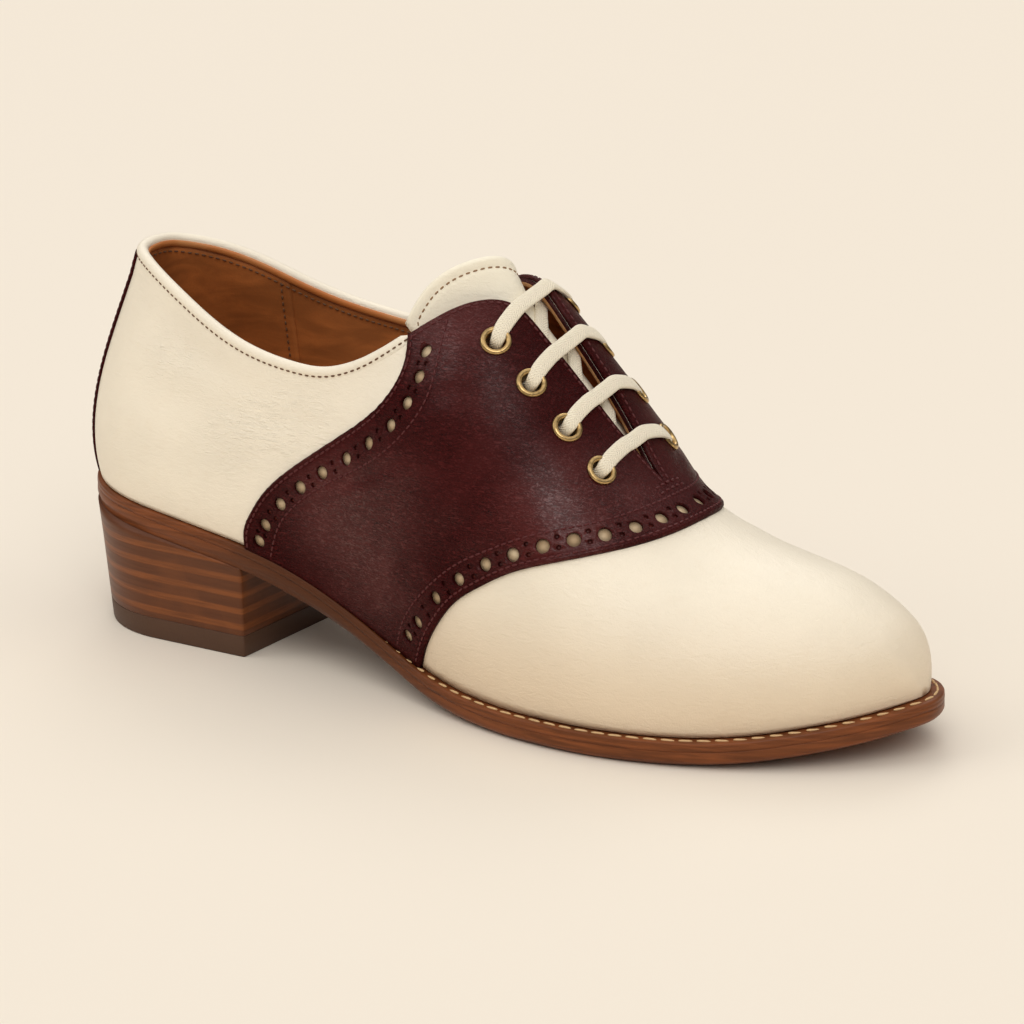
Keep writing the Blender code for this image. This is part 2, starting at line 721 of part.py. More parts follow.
def make_lace(collection):
    """Four straight bars of flat lace, drawn in narrow where they pass through the eyelets."""
    side_count = 6
    for index, spot in enumerate(EYELETS):
        route = lace_route(spot)
        forward = (top_point(-1, spot.place + 1) - top_point(-1, spot.place - 1)).normalized()
        points = []
        for i, place in enumerate(route):
            run = (route[min(i + 1, len(route) - 1)] - route[max(i - 1, 0)]).normalized()
            across = (forward - run * forward.dot(run)).normalized()
            out = run.cross(across)
            in_bore = i < 3 or i > len(route) - 4
            width = LACE_WIDTH_IN_BORE if in_bore else LACE_WIDTH
            for k in range(side_count):
                angle = 2 * math.pi * k / side_count
                points.append(
                    place
                    + across * (width / 2 * math.cos(angle))
                    + out * (LACE_THICK / 2 * math.sin(angle))
                )
        count = len(route)
        faces = [tuple(range(side_count)), tuple(range(len(points) - side_count, len(points)))]
        for i in range(count - 1):
            faces += ring_faces(side_count, i * side_count, (i + 1) * side_count)
        name = f"lace_bar_{index + 1}"
        object_from(name, mesh_of(name, points, faces), "lace_cotton", collection)


def main():
    """Build the shoe."""
    for old in list(bpy.data.objects):
        bpy.data.objects.remove(old)
    shoe = bpy.data.collections.new(NAME)
    cutters = bpy.data.collections.new("cutters")
    bpy.context.scene.collection.children.link(shoe)
    bpy.context.scene.collection.children.link(cutters)
    holes = make_hole_cutters(cutters)
    make_upper(shoe, holes)
    make_saddle(shoe, holes)
    make_backstay(shoe)
    make_binding(shoe)
    make_tongue(shoe)
    make_insole(shoe)
    make_welt(shoe)
    make_outsole(shoe)
    make_heel(shoe)
    make_eyelets(shoe)
    make_lace(shoe)


main()
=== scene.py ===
import math
from collections import namedtuple

import bmesh
import bpy
import numpy as np
from bpy.props import FloatProperty, FloatVectorProperty, IntProperty, PointerProperty
from mathutils import Matrix, Vector


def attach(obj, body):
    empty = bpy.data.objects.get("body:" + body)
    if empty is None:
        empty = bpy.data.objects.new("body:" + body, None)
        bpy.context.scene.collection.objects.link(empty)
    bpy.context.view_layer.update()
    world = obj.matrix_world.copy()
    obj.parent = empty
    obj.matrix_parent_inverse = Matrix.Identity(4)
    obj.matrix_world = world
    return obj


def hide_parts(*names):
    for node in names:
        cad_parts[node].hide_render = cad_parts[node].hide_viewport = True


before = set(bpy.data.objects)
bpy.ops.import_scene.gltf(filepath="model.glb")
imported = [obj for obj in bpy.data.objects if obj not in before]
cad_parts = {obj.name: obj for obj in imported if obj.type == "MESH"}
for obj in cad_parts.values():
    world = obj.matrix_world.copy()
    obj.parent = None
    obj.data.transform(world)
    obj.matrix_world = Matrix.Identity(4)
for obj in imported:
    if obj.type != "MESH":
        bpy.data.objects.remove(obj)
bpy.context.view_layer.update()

bl_info = {
    "name": "Saddle Shoe Finish",
    "version": (1, 0, 0),
    "blender": (4, 5, 0),
    "location": "View3D > Sidebar > Saddle Shoe",
    "description": "Leather, stitching, punching, lace and heel of a right saddle shoe, "
    "over its plain model",
    "category": "Object",
}

MM = 0.001

# One row for each section of the last, from the heel's back to the toe, in millimetres and
# degrees. x and z: the feather line. lateral and medial: its outer and inner half width. top_x,
# top_y and top_z: the middle of the top line, half: its half opening, rise: how much higher its
# inner side is. fan: turn of the section round the heel. low, lean, high and drop: lengths and
# slopes of the wall's handles at the feather and at the top.
Section = namedtuple(
    "Section", "x z lateral medial top_x top_y half top_z rise fan low lean high drop"
)
SECTIONS = [
    Section(-33.5, 41.3, 0.0, 0.0, -21.0, 0.0, 0.0, 103.0, 0.0, 90, 20, 15, 22, 72),
    Section(-29.5, 40.8, 14.6, 14.6, -18.8, 0.0, 8.8, 102.3, 0.0, 60, 20, 15, 22, 72),
    Section(-21.0, 39.7, 22.8, 22.8, -12.5, 0.0, 14.0, 100.6, 0.3, 35, 20, 14, 22, 74),
    Section(-9.0, 38.2, 27.3, 27.0, -5.0, 0.0, 17.7, 98.0, 0.8, 18, 20, 12, 22, 77),
    Section(4.0, 36.4, 28.2, 27.8, 4.5, 0.0, 20.8, 94.0, 1.4, 8, 20, 11, 20, 80),
    Section(16.0, 34.5, 28.1, 27.0, 16.0, 0.0, 23.4, 88.9, 2.0, 3, 20, 11, 18, 82),
    Section(30.0, 32.1, 27.9, 25.0, 30.0, 0.0, 25.4, 84.3, 2.7, 0, 18, 12, 16, 84),
    Section(44.0, 28.3, 27.4, 22.6, 44.0, 0.0, 25.9, 82.0, 3.0, 0, 18, 14, 15, 84),
    Section(58.0, 22.8, 27.2, 21.4, 57.0, 0.0, 24.7, 82.5, 2.8, 0, 20, 16, 16, 80),
    Section(70.0, 17.8, 28.2, 21.7, 69.0, 0.0, 21.9, 88.0, 2.4, 0, 26, 16, 20, 66),
    Section(80.0, 13.7, 29.8, 23.0, 79.0, 0.0, 18.2, 94.8, 2.0, 0, 32, 15, 23, 50),
    Section(88.0, 11.0, 31.9, 24.8, 87.0, 0.2, 13.7, 100.6, 2.0, 0, 36, 13, 25, 37),
    Section(96.0, 9.1, 34.2, 27.0, 94.0, 0.5, 9.3, 103.6, 2.4, 0, 39, 11, 26, 25),
    Section(103.0, 8.0, 36.0, 29.0, 100.6, 0.8, 6.4, 103.0, 2.6, 0, 40, 10, 26, 17),
    Section(111.0, 7.3, 37.7, 31.2, 108.2, 0.9, 5.2, 96.6, 2.4, 0, 38, 9, 26, 11),
    Section(122.0, 6.9, 39.4, 34.0, 119.2, 0.8, 4.2, 85.2, 1.8, 0, 35, 8, 26, 5),
    Section(133.0, 6.9, 40.0, 36.7, 131.2, 0.5, 2.6, 72.2, 1.0, 0, 31, 8, 26, 1),
    Section(143.0, 6.9, 39.6, 38.3, 142.0, 0.1, 0.0, 61.3, 0.0, 0, 28, 8, 25, 0),
    Section(154.0, 6.9, 37.7, 39.2, 154.0, 1.2, 0.0, 53.4, 0.0, 0, 25, 8, 25, 0),
    Section(166.0, 7.2, 34.3, 38.8, 166.0, 2.4, 0.0, 48.5, 0.0, 0, 23, 9, 24, 0),
    Section(180.0, 8.2, 28.4, 36.6, 180.0, 3.8, 0.0, 45.2, 0.0, 0, 21, 10, 22, 0),
    Section(192.0, 10.1, 21.3, 32.8, 192.0, 5.0, 0.0, 42.0, 0.0, 0, 18, 10, 19, 0),
    Section(204.0, 12.6, 11.8, 25.6, 203.6, 5.8, 0.0, 36.2, 0.0, 0, 14, 10, 15, 0),
    Section(212.5, 14.8, 1.5, 16.0, 212.0, 6.0, 0.0, 27.6, 0.0, 0, 8, 8, 9, 0),
    Section(216.0, 15.9, -6.0, 6.0, 216.0, 6.0, 0.0, 15.9, 0.0, 0, 0, 4, 0, 0),
]
THROAT_ROW = 17
LEVEL_AT_HEEL = {"x", "z", "top_x", "top_y", "top_z", "rise", "low", "lean", "high", "drop"}
LEVEL_AT_TOE = {"x", "z", "top_x", "top_y", "rise", "fan", "lean", "drop"}

# Places on the wall: along the feather line, and share of the height from sole to top line
Spot = namedtuple("Spot", "place height")


def spots(*pairs):
    """Spots from pairs of a place and a height."""
    return [Spot(*pair) for pair in pairs]


REAR_EDGE = spots(
    (79.1, 0.0), (79.5, 0.101), (81.8, 0.197), (86.4, 0.337), (93.1, 0.474), (102.4, 0.61),
    (112.7, 0.711), (120.7, 0.755), (127.6, 0.793), (130.9, 0.837), (132.0, 0.9),
    (131.4, 0.958), (130.8, 1.0),
)
FRONT_EDGE = spots(
    (143.2, 0.0), (147.5, 0.079), (151.5, 0.13), (158.6, 0.202), (166.3, 0.264),
    (173.4, 0.321), (184.4, 0.418), (195.3, 0.551), (200.4, 0.638), (204.3, 0.725),
    (207.3, 0.821), (209.0, 0.925), (209.4, 1.0),
)
EYELETS = spots((158.7, 0.842), (170.0, 0.822), (180.4, 0.811), (189.4, 0.801))
REAR_PUNCHES = spots(
    (84.8, 0.08), (87.4, 0.185), (92.8, 0.329), (99.8, 0.454), (107.8, 0.554),
    (116.8, 0.619), (125.0, 0.658), (132.8, 0.68), (137.2, 0.722), (139.2, 0.79),
    (138.7, 0.881),
)
FRONT_PUNCHES = spots(
    (140.5, 0.077), (145.4, 0.128), (153.0, 0.201), (160.9, 0.263), (169.0, 0.33),
    (176.6, 0.391), (183.7, 0.464), (190.0, 0.543), (195.6, 0.627), (200.4, 0.731),
    (203.5, 0.838), (205.0, 0.945),
)

# Inner stitch rows of the two punched bands
REAR_BAND = spots(
    (88.7, 0.04), (92.6, 0.23), (101.0, 0.41), (110.0, 0.515), (121.0, 0.573),
    (132.5, 0.602), (140.0, 0.637), (143.8, 0.685), (144.6, 0.76), (143.6, 0.85),
    (142.0, 0.95),
)
FRONT_BAND = spots(
    (135.1, 0.03), (139.2, 0.11), (147.5, 0.2), (155.7, 0.26), (163.7, 0.32), (172.6, 0.39),
    (182.6, 0.49), (188.8, 0.57), (193.5, 0.65), (197.4, 0.745), (200.1, 0.85),
    (201.2, 0.93), (201.4, 1.0),
)

# Soft troughs that wear has left in the leather. A trough runs from one spot to the other.
Crease = namedtuple("Crease", "side place height to_place to_height width depth")
CREASES = [
    Crease(-1, 112.0, 0.53, 142.0, 0.55, 2.0, 0.28),
    Crease(-1, 150.0, 0.29, 165.0, 0.43, 2.4, 0.30),
    Crease(-1, 183.0, 0.64, 197.0, 0.90, 1.8, 0.22),
    Crease(-1, 141.0, 0.70, 160.0, 0.66, 2.2, 0.22),
    Crease(-1, 120.0, 0.30, 150.0, 0.52, 4.0, 0.35),
    Crease(-1, 132.0, 0.12, 158.0, 0.34, 3.5, 0.30),
    Crease(-1, 46.0, 0.86, 93.0, 0.80, 3.5, 0.30),
    Crease(-1, 64.0, 0.66, 99.0, 0.72, 3.0, 0.28),
    Crease(-1, 30.0, 0.52, 70.0, 0.60, 4.5, 0.30),
    Crease(-1, 205.0, 0.58, 213.0, 0.90, 4.0, 0.22),
    Crease(-1, 196.0, 0.36, 214.0, 0.62, 4.5, 0.22),
    Crease(1, 108.0, 0.50, 140.0, 0.56, 2.4, 0.30),
    Crease(1, 150.0, 0.30, 168.0, 0.46, 3.0, 0.32),
    Crease(1, 120.0, 0.25, 150.0, 0.42, 4.0, 0.35),
    Crease(1, 182.0, 0.60, 197.0, 0.88, 2.2, 0.24),
    Crease(1, 40.0, 0.84, 90.0, 0.80, 3.5, 0.30),
    Crease(1, 30.0, 0.50, 72.0, 0.62, 4.5, 0.30),
    Crease(1, 204.0, 0.55, 213.0, 0.92, 4.0, 0.22),
    Crease(1, 198.0, 0.34, 216.0, 0.60, 4.5, 0.22),
]

# The tongue as arched sections square to the line of its middle, from vamp to top. back and
# far_back: how far its outer and its inner side edge lie behind the middle.
TongueRow = namedtuple("TongueRow", "x z half back far_back")
TONGUE = [
    TongueRow(156.0, 46.6, 14.0, 3.5, 3.5),
    TongueRow(148.5, 52.4, 16.0, 5.5, 5.5),
    TongueRow(141.0, 58.7, 17.0, 7.5, 7.5),
    TongueRow(130.0, 69.8, 18.0, 11.0, 11.0),
    TongueRow(118.0, 82.8, 17.5, 14.5, 14.5),
    TongueRow(107.4, 94.2, 16.5, 18.0, 17.0),
    TongueRow(101.0, 102.2, 15.5, 23.5, 20.0),
    TongueRow(97.8, 107.6, 15.5, 26.5, 22.0),
    TongueRow(95.4, 112.4, 16.0, 27.5, 20.0),
    TongueRow(93.8, 117.5, 16.5, 27.5, 18.0),
    TongueRow(92.8, 122.5, 16.5, 27.5, 18.0),
]
TONGUE_TOP = 116.0

# How much the top edge stands over the top line
Rise = namedtuple("Rise", "place rise")
TOP_RISE = [
    Rise(0, 1.2), Rise(118, 1.2), Rise(131, 2.0), Rise(137, 1.8),
    Rise(141.2, 1.5), Rise(149.8, 0.8), Rise(157.2, 0.3), Rise(165, 0.0),
]

# How far the sole's edge stands out past the feather line, along the shoe
Edge = namedtuple("Edge", "x margin")
EDGES = [
    Edge(-33.5, 1.0), Edge(20, 1.1), Edge(60, 1.8), Edge(95, 2.6), Edge(140, 3.2), Edge(216, 3.6),
]

# Millimetres for which one whole height of the wall stands when curves are measured
HEIGHT_SCALE = 80
# Width of the holes for the eyelets, gap between the upper and what lies on it
EYELET_HOLE = 6.0
OVERLAY_GAP = 0.06
# Half width of the strip over the back seam, and place of the seam in the lining
BACKSTAY_HALF = 16.5
LINING_SEAM = 58.5
# Tongue: depth of its middle, distance of its stitches from its edge, and where they start
TONGUE_CORE = 0.9
TONGUE_STITCHES = 2.9
TONGUE_STITCHES_FROM = 84
# Height of the heel's back, and lowest level of the sole under the feather line
HEEL_HEIGHT = 35.0
SOLE_DEPTH = 7.0

# Sections of the sole's parts: distance past the sole's edge, depth below the feather line, and
# for loops that follow the feather line itself, how far they lie inside it
WELT_SECTION = [
    (0, 2.7, 3.2), (0.05, 2.7), (0.1, 2.0), (0.1, 1.55), (0.0, 1.4),
    (0.06, 1.25), (0.02, 0.75), (-0.15, 0.42), (-0.5, 0.3), (0, 0.3, 3.2),
]
OUTSOLE_SECTION = [
    (0, SOLE_DEPTH, 9.0), (0, SOLE_DEPTH, 3.0), (-4.4, SOLE_DEPTH), (-2.3, 6.75), (-0.9, 6.1),
    (-0.15, 5.3), (0.12, 4.6), (0.1, 3.6), (0.06, 2.9), (0.0, 2.72), (0, 2.72, 3.0),
]
SOCK_SECTION = [(0, 2.5, 3.6), (0, 0.2, 3.5), (0, -0.3, 4.2), (0, -0.35, 6.5), (0, -0.2, 10.5)]
# Heights and insets of the top piece's loops
TOP_PIECE_SECTION = [(0.0, 0.35), (0.12, 0.1), (0.5, 0.0), (3.0, -0.03), (5.8, 0.0), (6.0, 0.12)]

# Radius and height of the eyelet ring's section, over the wall
RING_SECTION = [
    (2.95, -2.25), (2.95, 1.0), (3.9, 1.06), (4.1, 1.36), (4.05, 1.68), (3.8, 1.98),
    (3.4, 2.14), (3.0, 2.06), (2.72, 1.78), (2.6, 1.41), (2.5, 0.6), (2.45, -2.25),
]

# How high a lace bar lies over the wall, by the share of the way from eyelet to rim
BAR_LIFTS = [(0.24, 1.9), (0.5, 2.1), (0.78, 2.15), (1.0, 2.1)]

# Suns: name, way to it, power and spread in degrees
LIGHTS = [
    ("key", (-0.45, 0.7, 0.8), 0.36, 24),
    ("fill", (0.5, -0.75, 0.8), 0.92, 40),
    ("side", (-0.7, -0.6, 0.6), 0.34, 34),
]
LIGHT_COLOUR = (1.0, 0.985, 0.96)
SKY_COLOUR = (1.0, 0.975, 0.945, 1)
# Camera: angles in degrees, place that it looks at and distance in metres, and its lens in
# widths of its sensor. The floor's half width is in metres.
AZIMUTH, ELEVATION = 32.63, 17.4
TARGET = (0.0953, 0.0017, 0.045)
DISTANCE = 1.058
LENS = 4000 / 1024
FLOOR_HALF = 4


def srgb(red, green, blue):
    """Linear colour from the values 0 to 255 that a screen shows."""
    values = []
    for value in (red, green, blue):
        share = value / 255
        values.append(share / 12.92 if share <= 0.04045 else ((share + 0.055) / 1.055) ** 2.4)
    return tuple(values)


def colour_property(name, description, *screen):
    """Colour setting with its default given as screen values."""
    return FloatVectorProperty(
        name=name,
        description=description,
        subtype="COLOR",
        size=3,
        min=0,
        max=1,
        default=srgb(*screen),
    )


def length_property(name, description, millimetres):
    """Length setting with its default given in millimetres."""
    return FloatProperty(
        name=name, description=description, default=millimetres * MM, min=0, unit="LENGTH"
    )


class SaddleShoeSizes(bpy.types.PropertyGroup):
    """Sizes of the shoe's details."""

    wall: length_property("Upper", "Thickness of the upper's leather and lining", 2.0)
    saddle: length_property("Saddle", "Thickness of the saddle overlay", 1.3)
    backstay: length_property("Backstay", "Thickness of the strip over the back seam", 0.7)
    tongue: length_property("Tongue", "Thickness of the tongue", 1.9)
    large_punch: length_property("Large Punch", "Width of the large brogue holes", 3.8)
    small_punch: length_property("Small Punch", "Width of the small brogue holes", 1.35)
    stitch: length_property("Stitch", "Distance between stitches on the panels", 2.0)
    collar_stitch: length_property("Collar Stitch", "Distance between stitches at the collar", 1.95)
    welt_stitch: length_property("Welt Stitch", "Distance between stitches on the welt", 4.6)
    lace: length_property("Lace", "Width of the flat lace", 4.25)
    stripe: length_property("Heel Stripe", "Height of one leather lift with its light joint", 4.6)
    seed: IntProperty(name="Seed", description="Seed of the stitches' small differences", default=7)


class SaddleShoeColours(bpy.types.PropertyGroup):
    """Colours of the shoe's materials."""

    cream: colour_property("Cream", "Vamp, quarters and tongue", 250, 239, 218)
    burgundy: colour_property("Burgundy", "Saddle and backstay", 74, 19, 19)
    lining: colour_property("Lining", "Leather lining", 190, 112, 54)
    sole: colour_property("Sole", "Sole's edge and welt", 122, 67, 34)
    lift: colour_property("Lift", "Heel lifts", 98, 54, 28)
    stripe: colour_property("Stripe", "Light joints between the lifts", 136, 76, 36)
    top_piece: colour_property("Top Piece", "Heel's top piece", 82, 55, 38)
    brass: colour_property("Brass", "Eyelets", 196, 164, 112)
    lace: colour_property("Lace", "Lace", 255, 243, 218)
    dark_thread: colour_property("Dark Thread", "Collar and lining stitches", 108, 76, 52)
    red_thread: colour_property("Red Thread", "Saddle stitches", 84, 27, 27)
    welt_thread: colour_property("Welt Thread", "Welt stitches", 214, 178, 130)
    floor: colour_property("Floor", "Floor and background", 242, 232, 217)


def sizes():
    """Sizes of this scene, in millimetres."""
    group = bpy.context.scene.saddle_shoe_sizes
    return {
        name: getattr(group, name) / MM if name != "seed" else group.seed
        for name in SaddleShoeSizes.__annotations__
    }


def colours():
    """Colours of this scene."""
    group = bpy.context.scene.saddle_shoe_colours
    return {name: tuple(getattr(group, name)) for name in SaddleShoeColours.__annotations__}


# The last's surface


def spline(knots, values, level_start=False, level_end=False):
    """Cubic spline through the values, level or straight at each end, for whole arrays."""
    knots = np.asarray(knots, float)
    values = np.asarray(values, float)
    count = len(knots)
    step = np.diff(knots)
    slope = np.diff(values) / step
    matrix = np.zeros((count, count))
    right = np.zeros(count)
    for i in range(1, count - 1):
        matrix[i, i - 1:i + 2] = step[i - 1], 2 * (step[i - 1] + step[i]), step[i]
        right[i] = 6 * (slope[i] - slope[i - 1])
    matrix[0, 0] = matrix[-1, -1] = 1
    if level_start:
        matrix[0, :2] = 2 * step[0], step[0]
        right[0] = 6 * slope[0]
    if level_end:
        matrix[-1, -2:] = step[-1], 2 * step[-1]
        right[-1] = -6 * slope[-1]
    bend = np.linalg.solve(matrix, right)

    def value_at(place):
        place = np.clip(place, knots[0], knots[-1])
        i = np.clip(np.searchsorted(knots, place, side="right") - 1, 0, count - 2)
        before = place - knots[i]
        after = knots[i + 1] - place
        width = step[i]
        curve = (bend[i] * after**3 + bend[i + 1] * before**3) / (6 * width)
        line = (values[i] / width - bend[i] * width / 6) * after
        return curve + line + (values[i + 1] / width - bend[i + 1] * width / 6) * before

    return value_at


FEATHER_POINTS = np.array([(row.x, row.lateral, row.z) for row in SECTIONS])
ROW_PLACES = np.r_[0, np.cumsum(np.linalg.norm(np.diff(FEATHER_POINTS, axis=0), axis=1))]
TOE_PLACE = float(ROW_PLACES[-1])
THROAT_PLACE = float(ROW_PLACES[THROAT_ROW])
COLUMN = {
    name: spline(
        ROW_PLACES,
        [getattr(row, name) for row in SECTIONS],
        name in LEVEL_AT_HEEL,
        name in LEVEL_AT_TOE,
    )
    for name in Section._fields
}


def curve_through(marks, count=900):
    """Places and heights of a smooth curve through spots."""
    places, heights = np.array(marks).T
    along = np.r_[0, np.cumsum(np.hypot(np.diff(places), HEIGHT_SCALE * np.diff(heights)))]
    steps = np.linspace(0, along[-1], count)
    return spline(along, places)(steps), spline(along, heights)(steps)


def edge_place(marks):
    """Place of an edge by its height."""
    places, heights = curve_through(marks)
    return lambda height: np.interp(height, heights, places)


def even_places(step):
    """Places from heel to toe, close to a step apart, with every section among them."""
    places = [0.0]
    for start, end in zip(ROW_PLACES[:-1], ROW_PLACES[1:]):
        count = max(int(round((end - start) / step)), 1)
        places += list(start + (end - start) * (np.arange(count) + 1) / count)
    return np.array(places)


SADDLE_REAR = edge_place(REAR_EDGE)
SADDLE_FRONT = edge_place(FRONT_EDGE)


def alike(*values):
    """The values as arrays of one shape."""
    parts = np.broadcast_arrays(*[np.asarray(value, float) for value in values])
    return [np.array(part) for part in parts]


def unit(vectors):
    """Vectors of length one."""
    return vectors / np.maximum(np.linalg.norm(vectors, axis=-1, keepdims=True), 1e-12)


def feather(side, place):
    """Points on the feather line, by the distance along it from the heel's back."""
    side, place = alike(side, place)
    half = np.where(side < 0, COLUMN["lateral"](place), COLUMN["medial"](place))
    return np.stack([COLUMN["x"](place), side * half, COLUMN["z"](place)], -1)


def outward(side, place):
    """Level directions out of the shoe at the feather line."""
    side, place = alike(side, place)
    ahead, behind = np.minimum(place + 0.05, TOE_PLACE), np.maximum(place - 0.05, 0)
    run = feather(side, ahead) - feather(side, behind)
    return unit(np.stack([-side * run[..., 1], side * run[..., 0], 0 * place], -1))


def top_line(side, place):
    """Points on the top line. The two sides meet from the throat to the toe."""
    side, place = alike(side, place)
    open_here = place < THROAT_PLACE
    half = np.where(open_here, np.maximum(COLUMN["half"](place), 0), 0)
    rise = np.where(open_here & (side > 0), np.maximum(COLUMN["rise"](place), 0), 0)
    x, y, z = (COLUMN[name](place) for name in ("top_x", "top_y", "top_z"))
    return np.stack([x, y + side * half, z + rise], -1)


def wall(side, place, height):
    """Points on the last's wall, from the feather line, height 0, to the top line, height 1."""
    side, place, height = alike(side, place, height)
    foot = feather(side, place)
    head = top_line(side, place)
    lean = np.radians(COLUMN["lean"](place))[..., None]
    fan = np.radians(COLUMN["fan"](place))
    drop = np.where(place >= THROAT_PLACE, 0, np.maximum(COLUMN["drop"](place), 0))
    slope = np.radians(drop)[..., None]
    up = np.array([0.0, 0.0, 1.0])
    level = np.stack([-np.sin(fan), side * np.cos(fan), 0 * fan], -1)
    foot_handle = outward(side, place) * np.sin(lean) + up * np.cos(lean)
    head_handle = level * np.cos(slope) - up * np.sin(slope)
    low = foot + foot_handle * np.maximum(COLUMN["low"](place), 0)[..., None]
    high = head + head_handle * np.maximum(COLUMN["high"](place), 0)[..., None]
    share = height[..., None]
    rest = 1 - share
    curve = rest**3 * foot + 3 * rest**2 * share * low
    curve = curve + 3 * rest * share**2 * high + share**3 * head
    near_top = np.clip((share - 0.9) / 0.1, 0, 1)
    rise = np.interp(place, *np.array(TOP_RISE).T)[..., None]
    return curve + up * rise * near_top**2 * (3 - 2 * near_top)


def side_normal(side, place, height):
    """Directions out of one side's wall."""
    place = np.clip(place, 0.15, TOE_PLACE - 0.6)
    along = wall(side, place + 0.15, height) - wall(side, place - 0.15, height)
    above, below = np.minimum(height + 0.002, 1), np.maximum(height - 0.002, 0)
    across = wall(side, place, above) - wall(side, place, below)
    return unit(np.cross(across, along) * side[..., None])


def wall_normal(side, place, height):
    """Directions out of the wall, shared by both sides where they meet."""
    side, place, height = alike(side, place, height)
    normal = side_normal(side, place, height)
    joined = ((height > 0.9995) & (place >= THROAT_PLACE - 0.01))[..., None]
    normal = np.where(joined, unit(normal + side_normal(-side, place, height)), normal)
    normal[..., 1] = np.where(place < 0.02, 0, normal[..., 1])
    return unit(normal)


def wall_frame(side, place, height):
    """Points on the wall and their directions out of it."""
    return wall(side, place, height), wall_normal(side, place, height)


def off_wall(side, place, height, distance):
    """Points outside the wall by a distance, or inside it for a negative one."""
    points, normal = wall_frame(side, place, height)
    return points + normal * np.asarray(distance, float)[..., None]


def distance_to(points, line):
    """Distance from each point to the nearest sample of a line."""
    flat = points.reshape(-1, 3)
    nearest = np.empty(len(flat))
    for start in range(0, len(flat), 4000):
        part = flat[start:start + 4000]
        squares = (part**2).sum(1)[:, None] + (line**2).sum(1)[None] - 2 * part @ line.T
        nearest[start:start + 4000] = np.sqrt(np.maximum(squares.min(1), 0))
    return nearest.reshape(points.shape[:-1])


def relief(points):
    """Depth of the worn creases at points of the wall."""
    depth = np.zeros(points.shape[:-1])
    for crease in CREASES:
        share = np.linspace(0, 1, 40)
        line = wall(
            crease.side,
            crease.place + (crease.to_place - crease.place) * share,
            crease.height + (crease.to_height - crease.height) * share,
        )
        ends = distance_to(points, line[[0, -1]])
        away = distance_to(points, line)
        fade = np.clip(ends / (3.5 * crease.width), 0, 1)
        depth -= crease.depth * fade * np.exp(-((away / crease.width) ** 2))
        beyond = (away - 2 * crease.width) / crease.width
        depth += 0.45 * crease.depth * fade * np.exp(-(beyond**2))
    return depth


def settle(side, place, height, target):
    """Place and height on the wall nearest to each target point."""
    for _ in range(5):
        here = wall(side, place, height)
        by_place = (wall(side, place + 0.1, height) - wall(side, place - 0.1, height)) / 0.2
        by_height = (wall(side, place, height + 0.002) - wall(side, place, height - 0.002)) / 0.004
        miss = target - here
        a = (by_place**2).sum(-1)
        b = (by_place * by_height).sum(-1)
        c = (by_height**2).sum(-1)
        p = (by_place * miss).sum(-1)
        q = (by_height * miss).sum(-1)
        bottom = np.maximum(a * c - b * b, 1e-9)
        place = np.clip(place + np.clip((c * p - b * q) / bottom, -5, 5), 0.2, TOE_PLACE - 0.5)
        height = np.clip(height + np.clip((a * q - b * p) / bottom, -0.1, 0.1), 0.002, 0.998)
    return place, height


def beside(side, place, height, distance, inward):
    """Row on the wall that keeps a distance from a given row, on its left (1) or right (-1)."""
    side, place, height = alike(side, place, height)
    points = wall(side, place, height)
    run = unit(np.gradient(points, axis=0))
    across = np.cross(wall_normal(side, place, height), run) * inward
    return settle(side, place, height, points + across * distance)


# Meshes


def new_object(name, data):
    """Object in the scene, at the origin."""
    made = bpy.data.objects.new(name, data)
    bpy.context.scene.collection.objects.link(made)
    return made


def finish_mesh(name, points, faces, finishes, face_finish=None, uv=None):
    """Object from points in millimetres: doubles merged, empty faces dropped, faces outwards."""
    mesh = bpy.data.meshes.new(name)
    mesh.from_pydata((np.asarray(points) * MM).tolist(), [], faces)
    if face_finish is not None:
        mesh.polygons.foreach_set("material_index", np.asarray(face_finish, np.int32))
    if uv is not None:
        corners = np.empty(len(mesh.loops), np.int32)
        mesh.loops.foreach_get("vertex_index", corners)
        layer = mesh.uv_layers.new(name="UVMap")
        layer.data.foreach_set("uv", np.asarray(uv, np.float32)[corners].ravel())
    work = bmesh.new()
    work.from_mesh(mesh)
    bmesh.ops.remove_doubles(work, verts=work.verts, dist=0.000004)
    bmesh.ops.dissolve_degenerate(work, edges=work.edges, dist=0.000003)
    loose = [vert for vert in work.verts if not vert.link_faces]
    bmesh.ops.delete(work, geom=loose, context="VERTS")
    if work.calc_volume(signed=True) < 0:
        bmesh.ops.reverse_faces(work, faces=work.faces)
    work.to_mesh(mesh)
    work.free()
    mesh.shade_smooth()
    for finish in finishes:
        mesh.materials.append(finish)
    return new_object(name, mesh)


def grid_faces(rows, columns, first=0, flip=False):
    """Faces of a grid of points, row by row."""
    start = first + (np.arange(rows - 1)[:, None] * columns + np.arange(columns - 1)[None]).ravel()
    quads = np.stack([start, start + columns, start + columns + 1, start + 1], 1)
    return (quads[:, ::-1] if flip else quads).tolist()


def ring_faces(rings, sides, closed=False):
    """Faces between rings of points, each ring joined to the next."""
    around = np.arange(sides)
    after = (around + 1) % sides
    faces = []
    for i in range(rings if closed else rings - 1):
        low, high = i * sides, (i + 1) % rings * sides
        faces += np.stack([low + around, low + after, high + after, high + around], 1).tolist()
    return faces


def tube_faces(rings, sides):
    """Faces of a tube of rings, closed at both ends."""
    last = (rings - 1) * sides
    ends = [tuple(range(sides))[::-1], tuple(range(last, last + sides))]
    return ring_faces(rings, sides) + ends


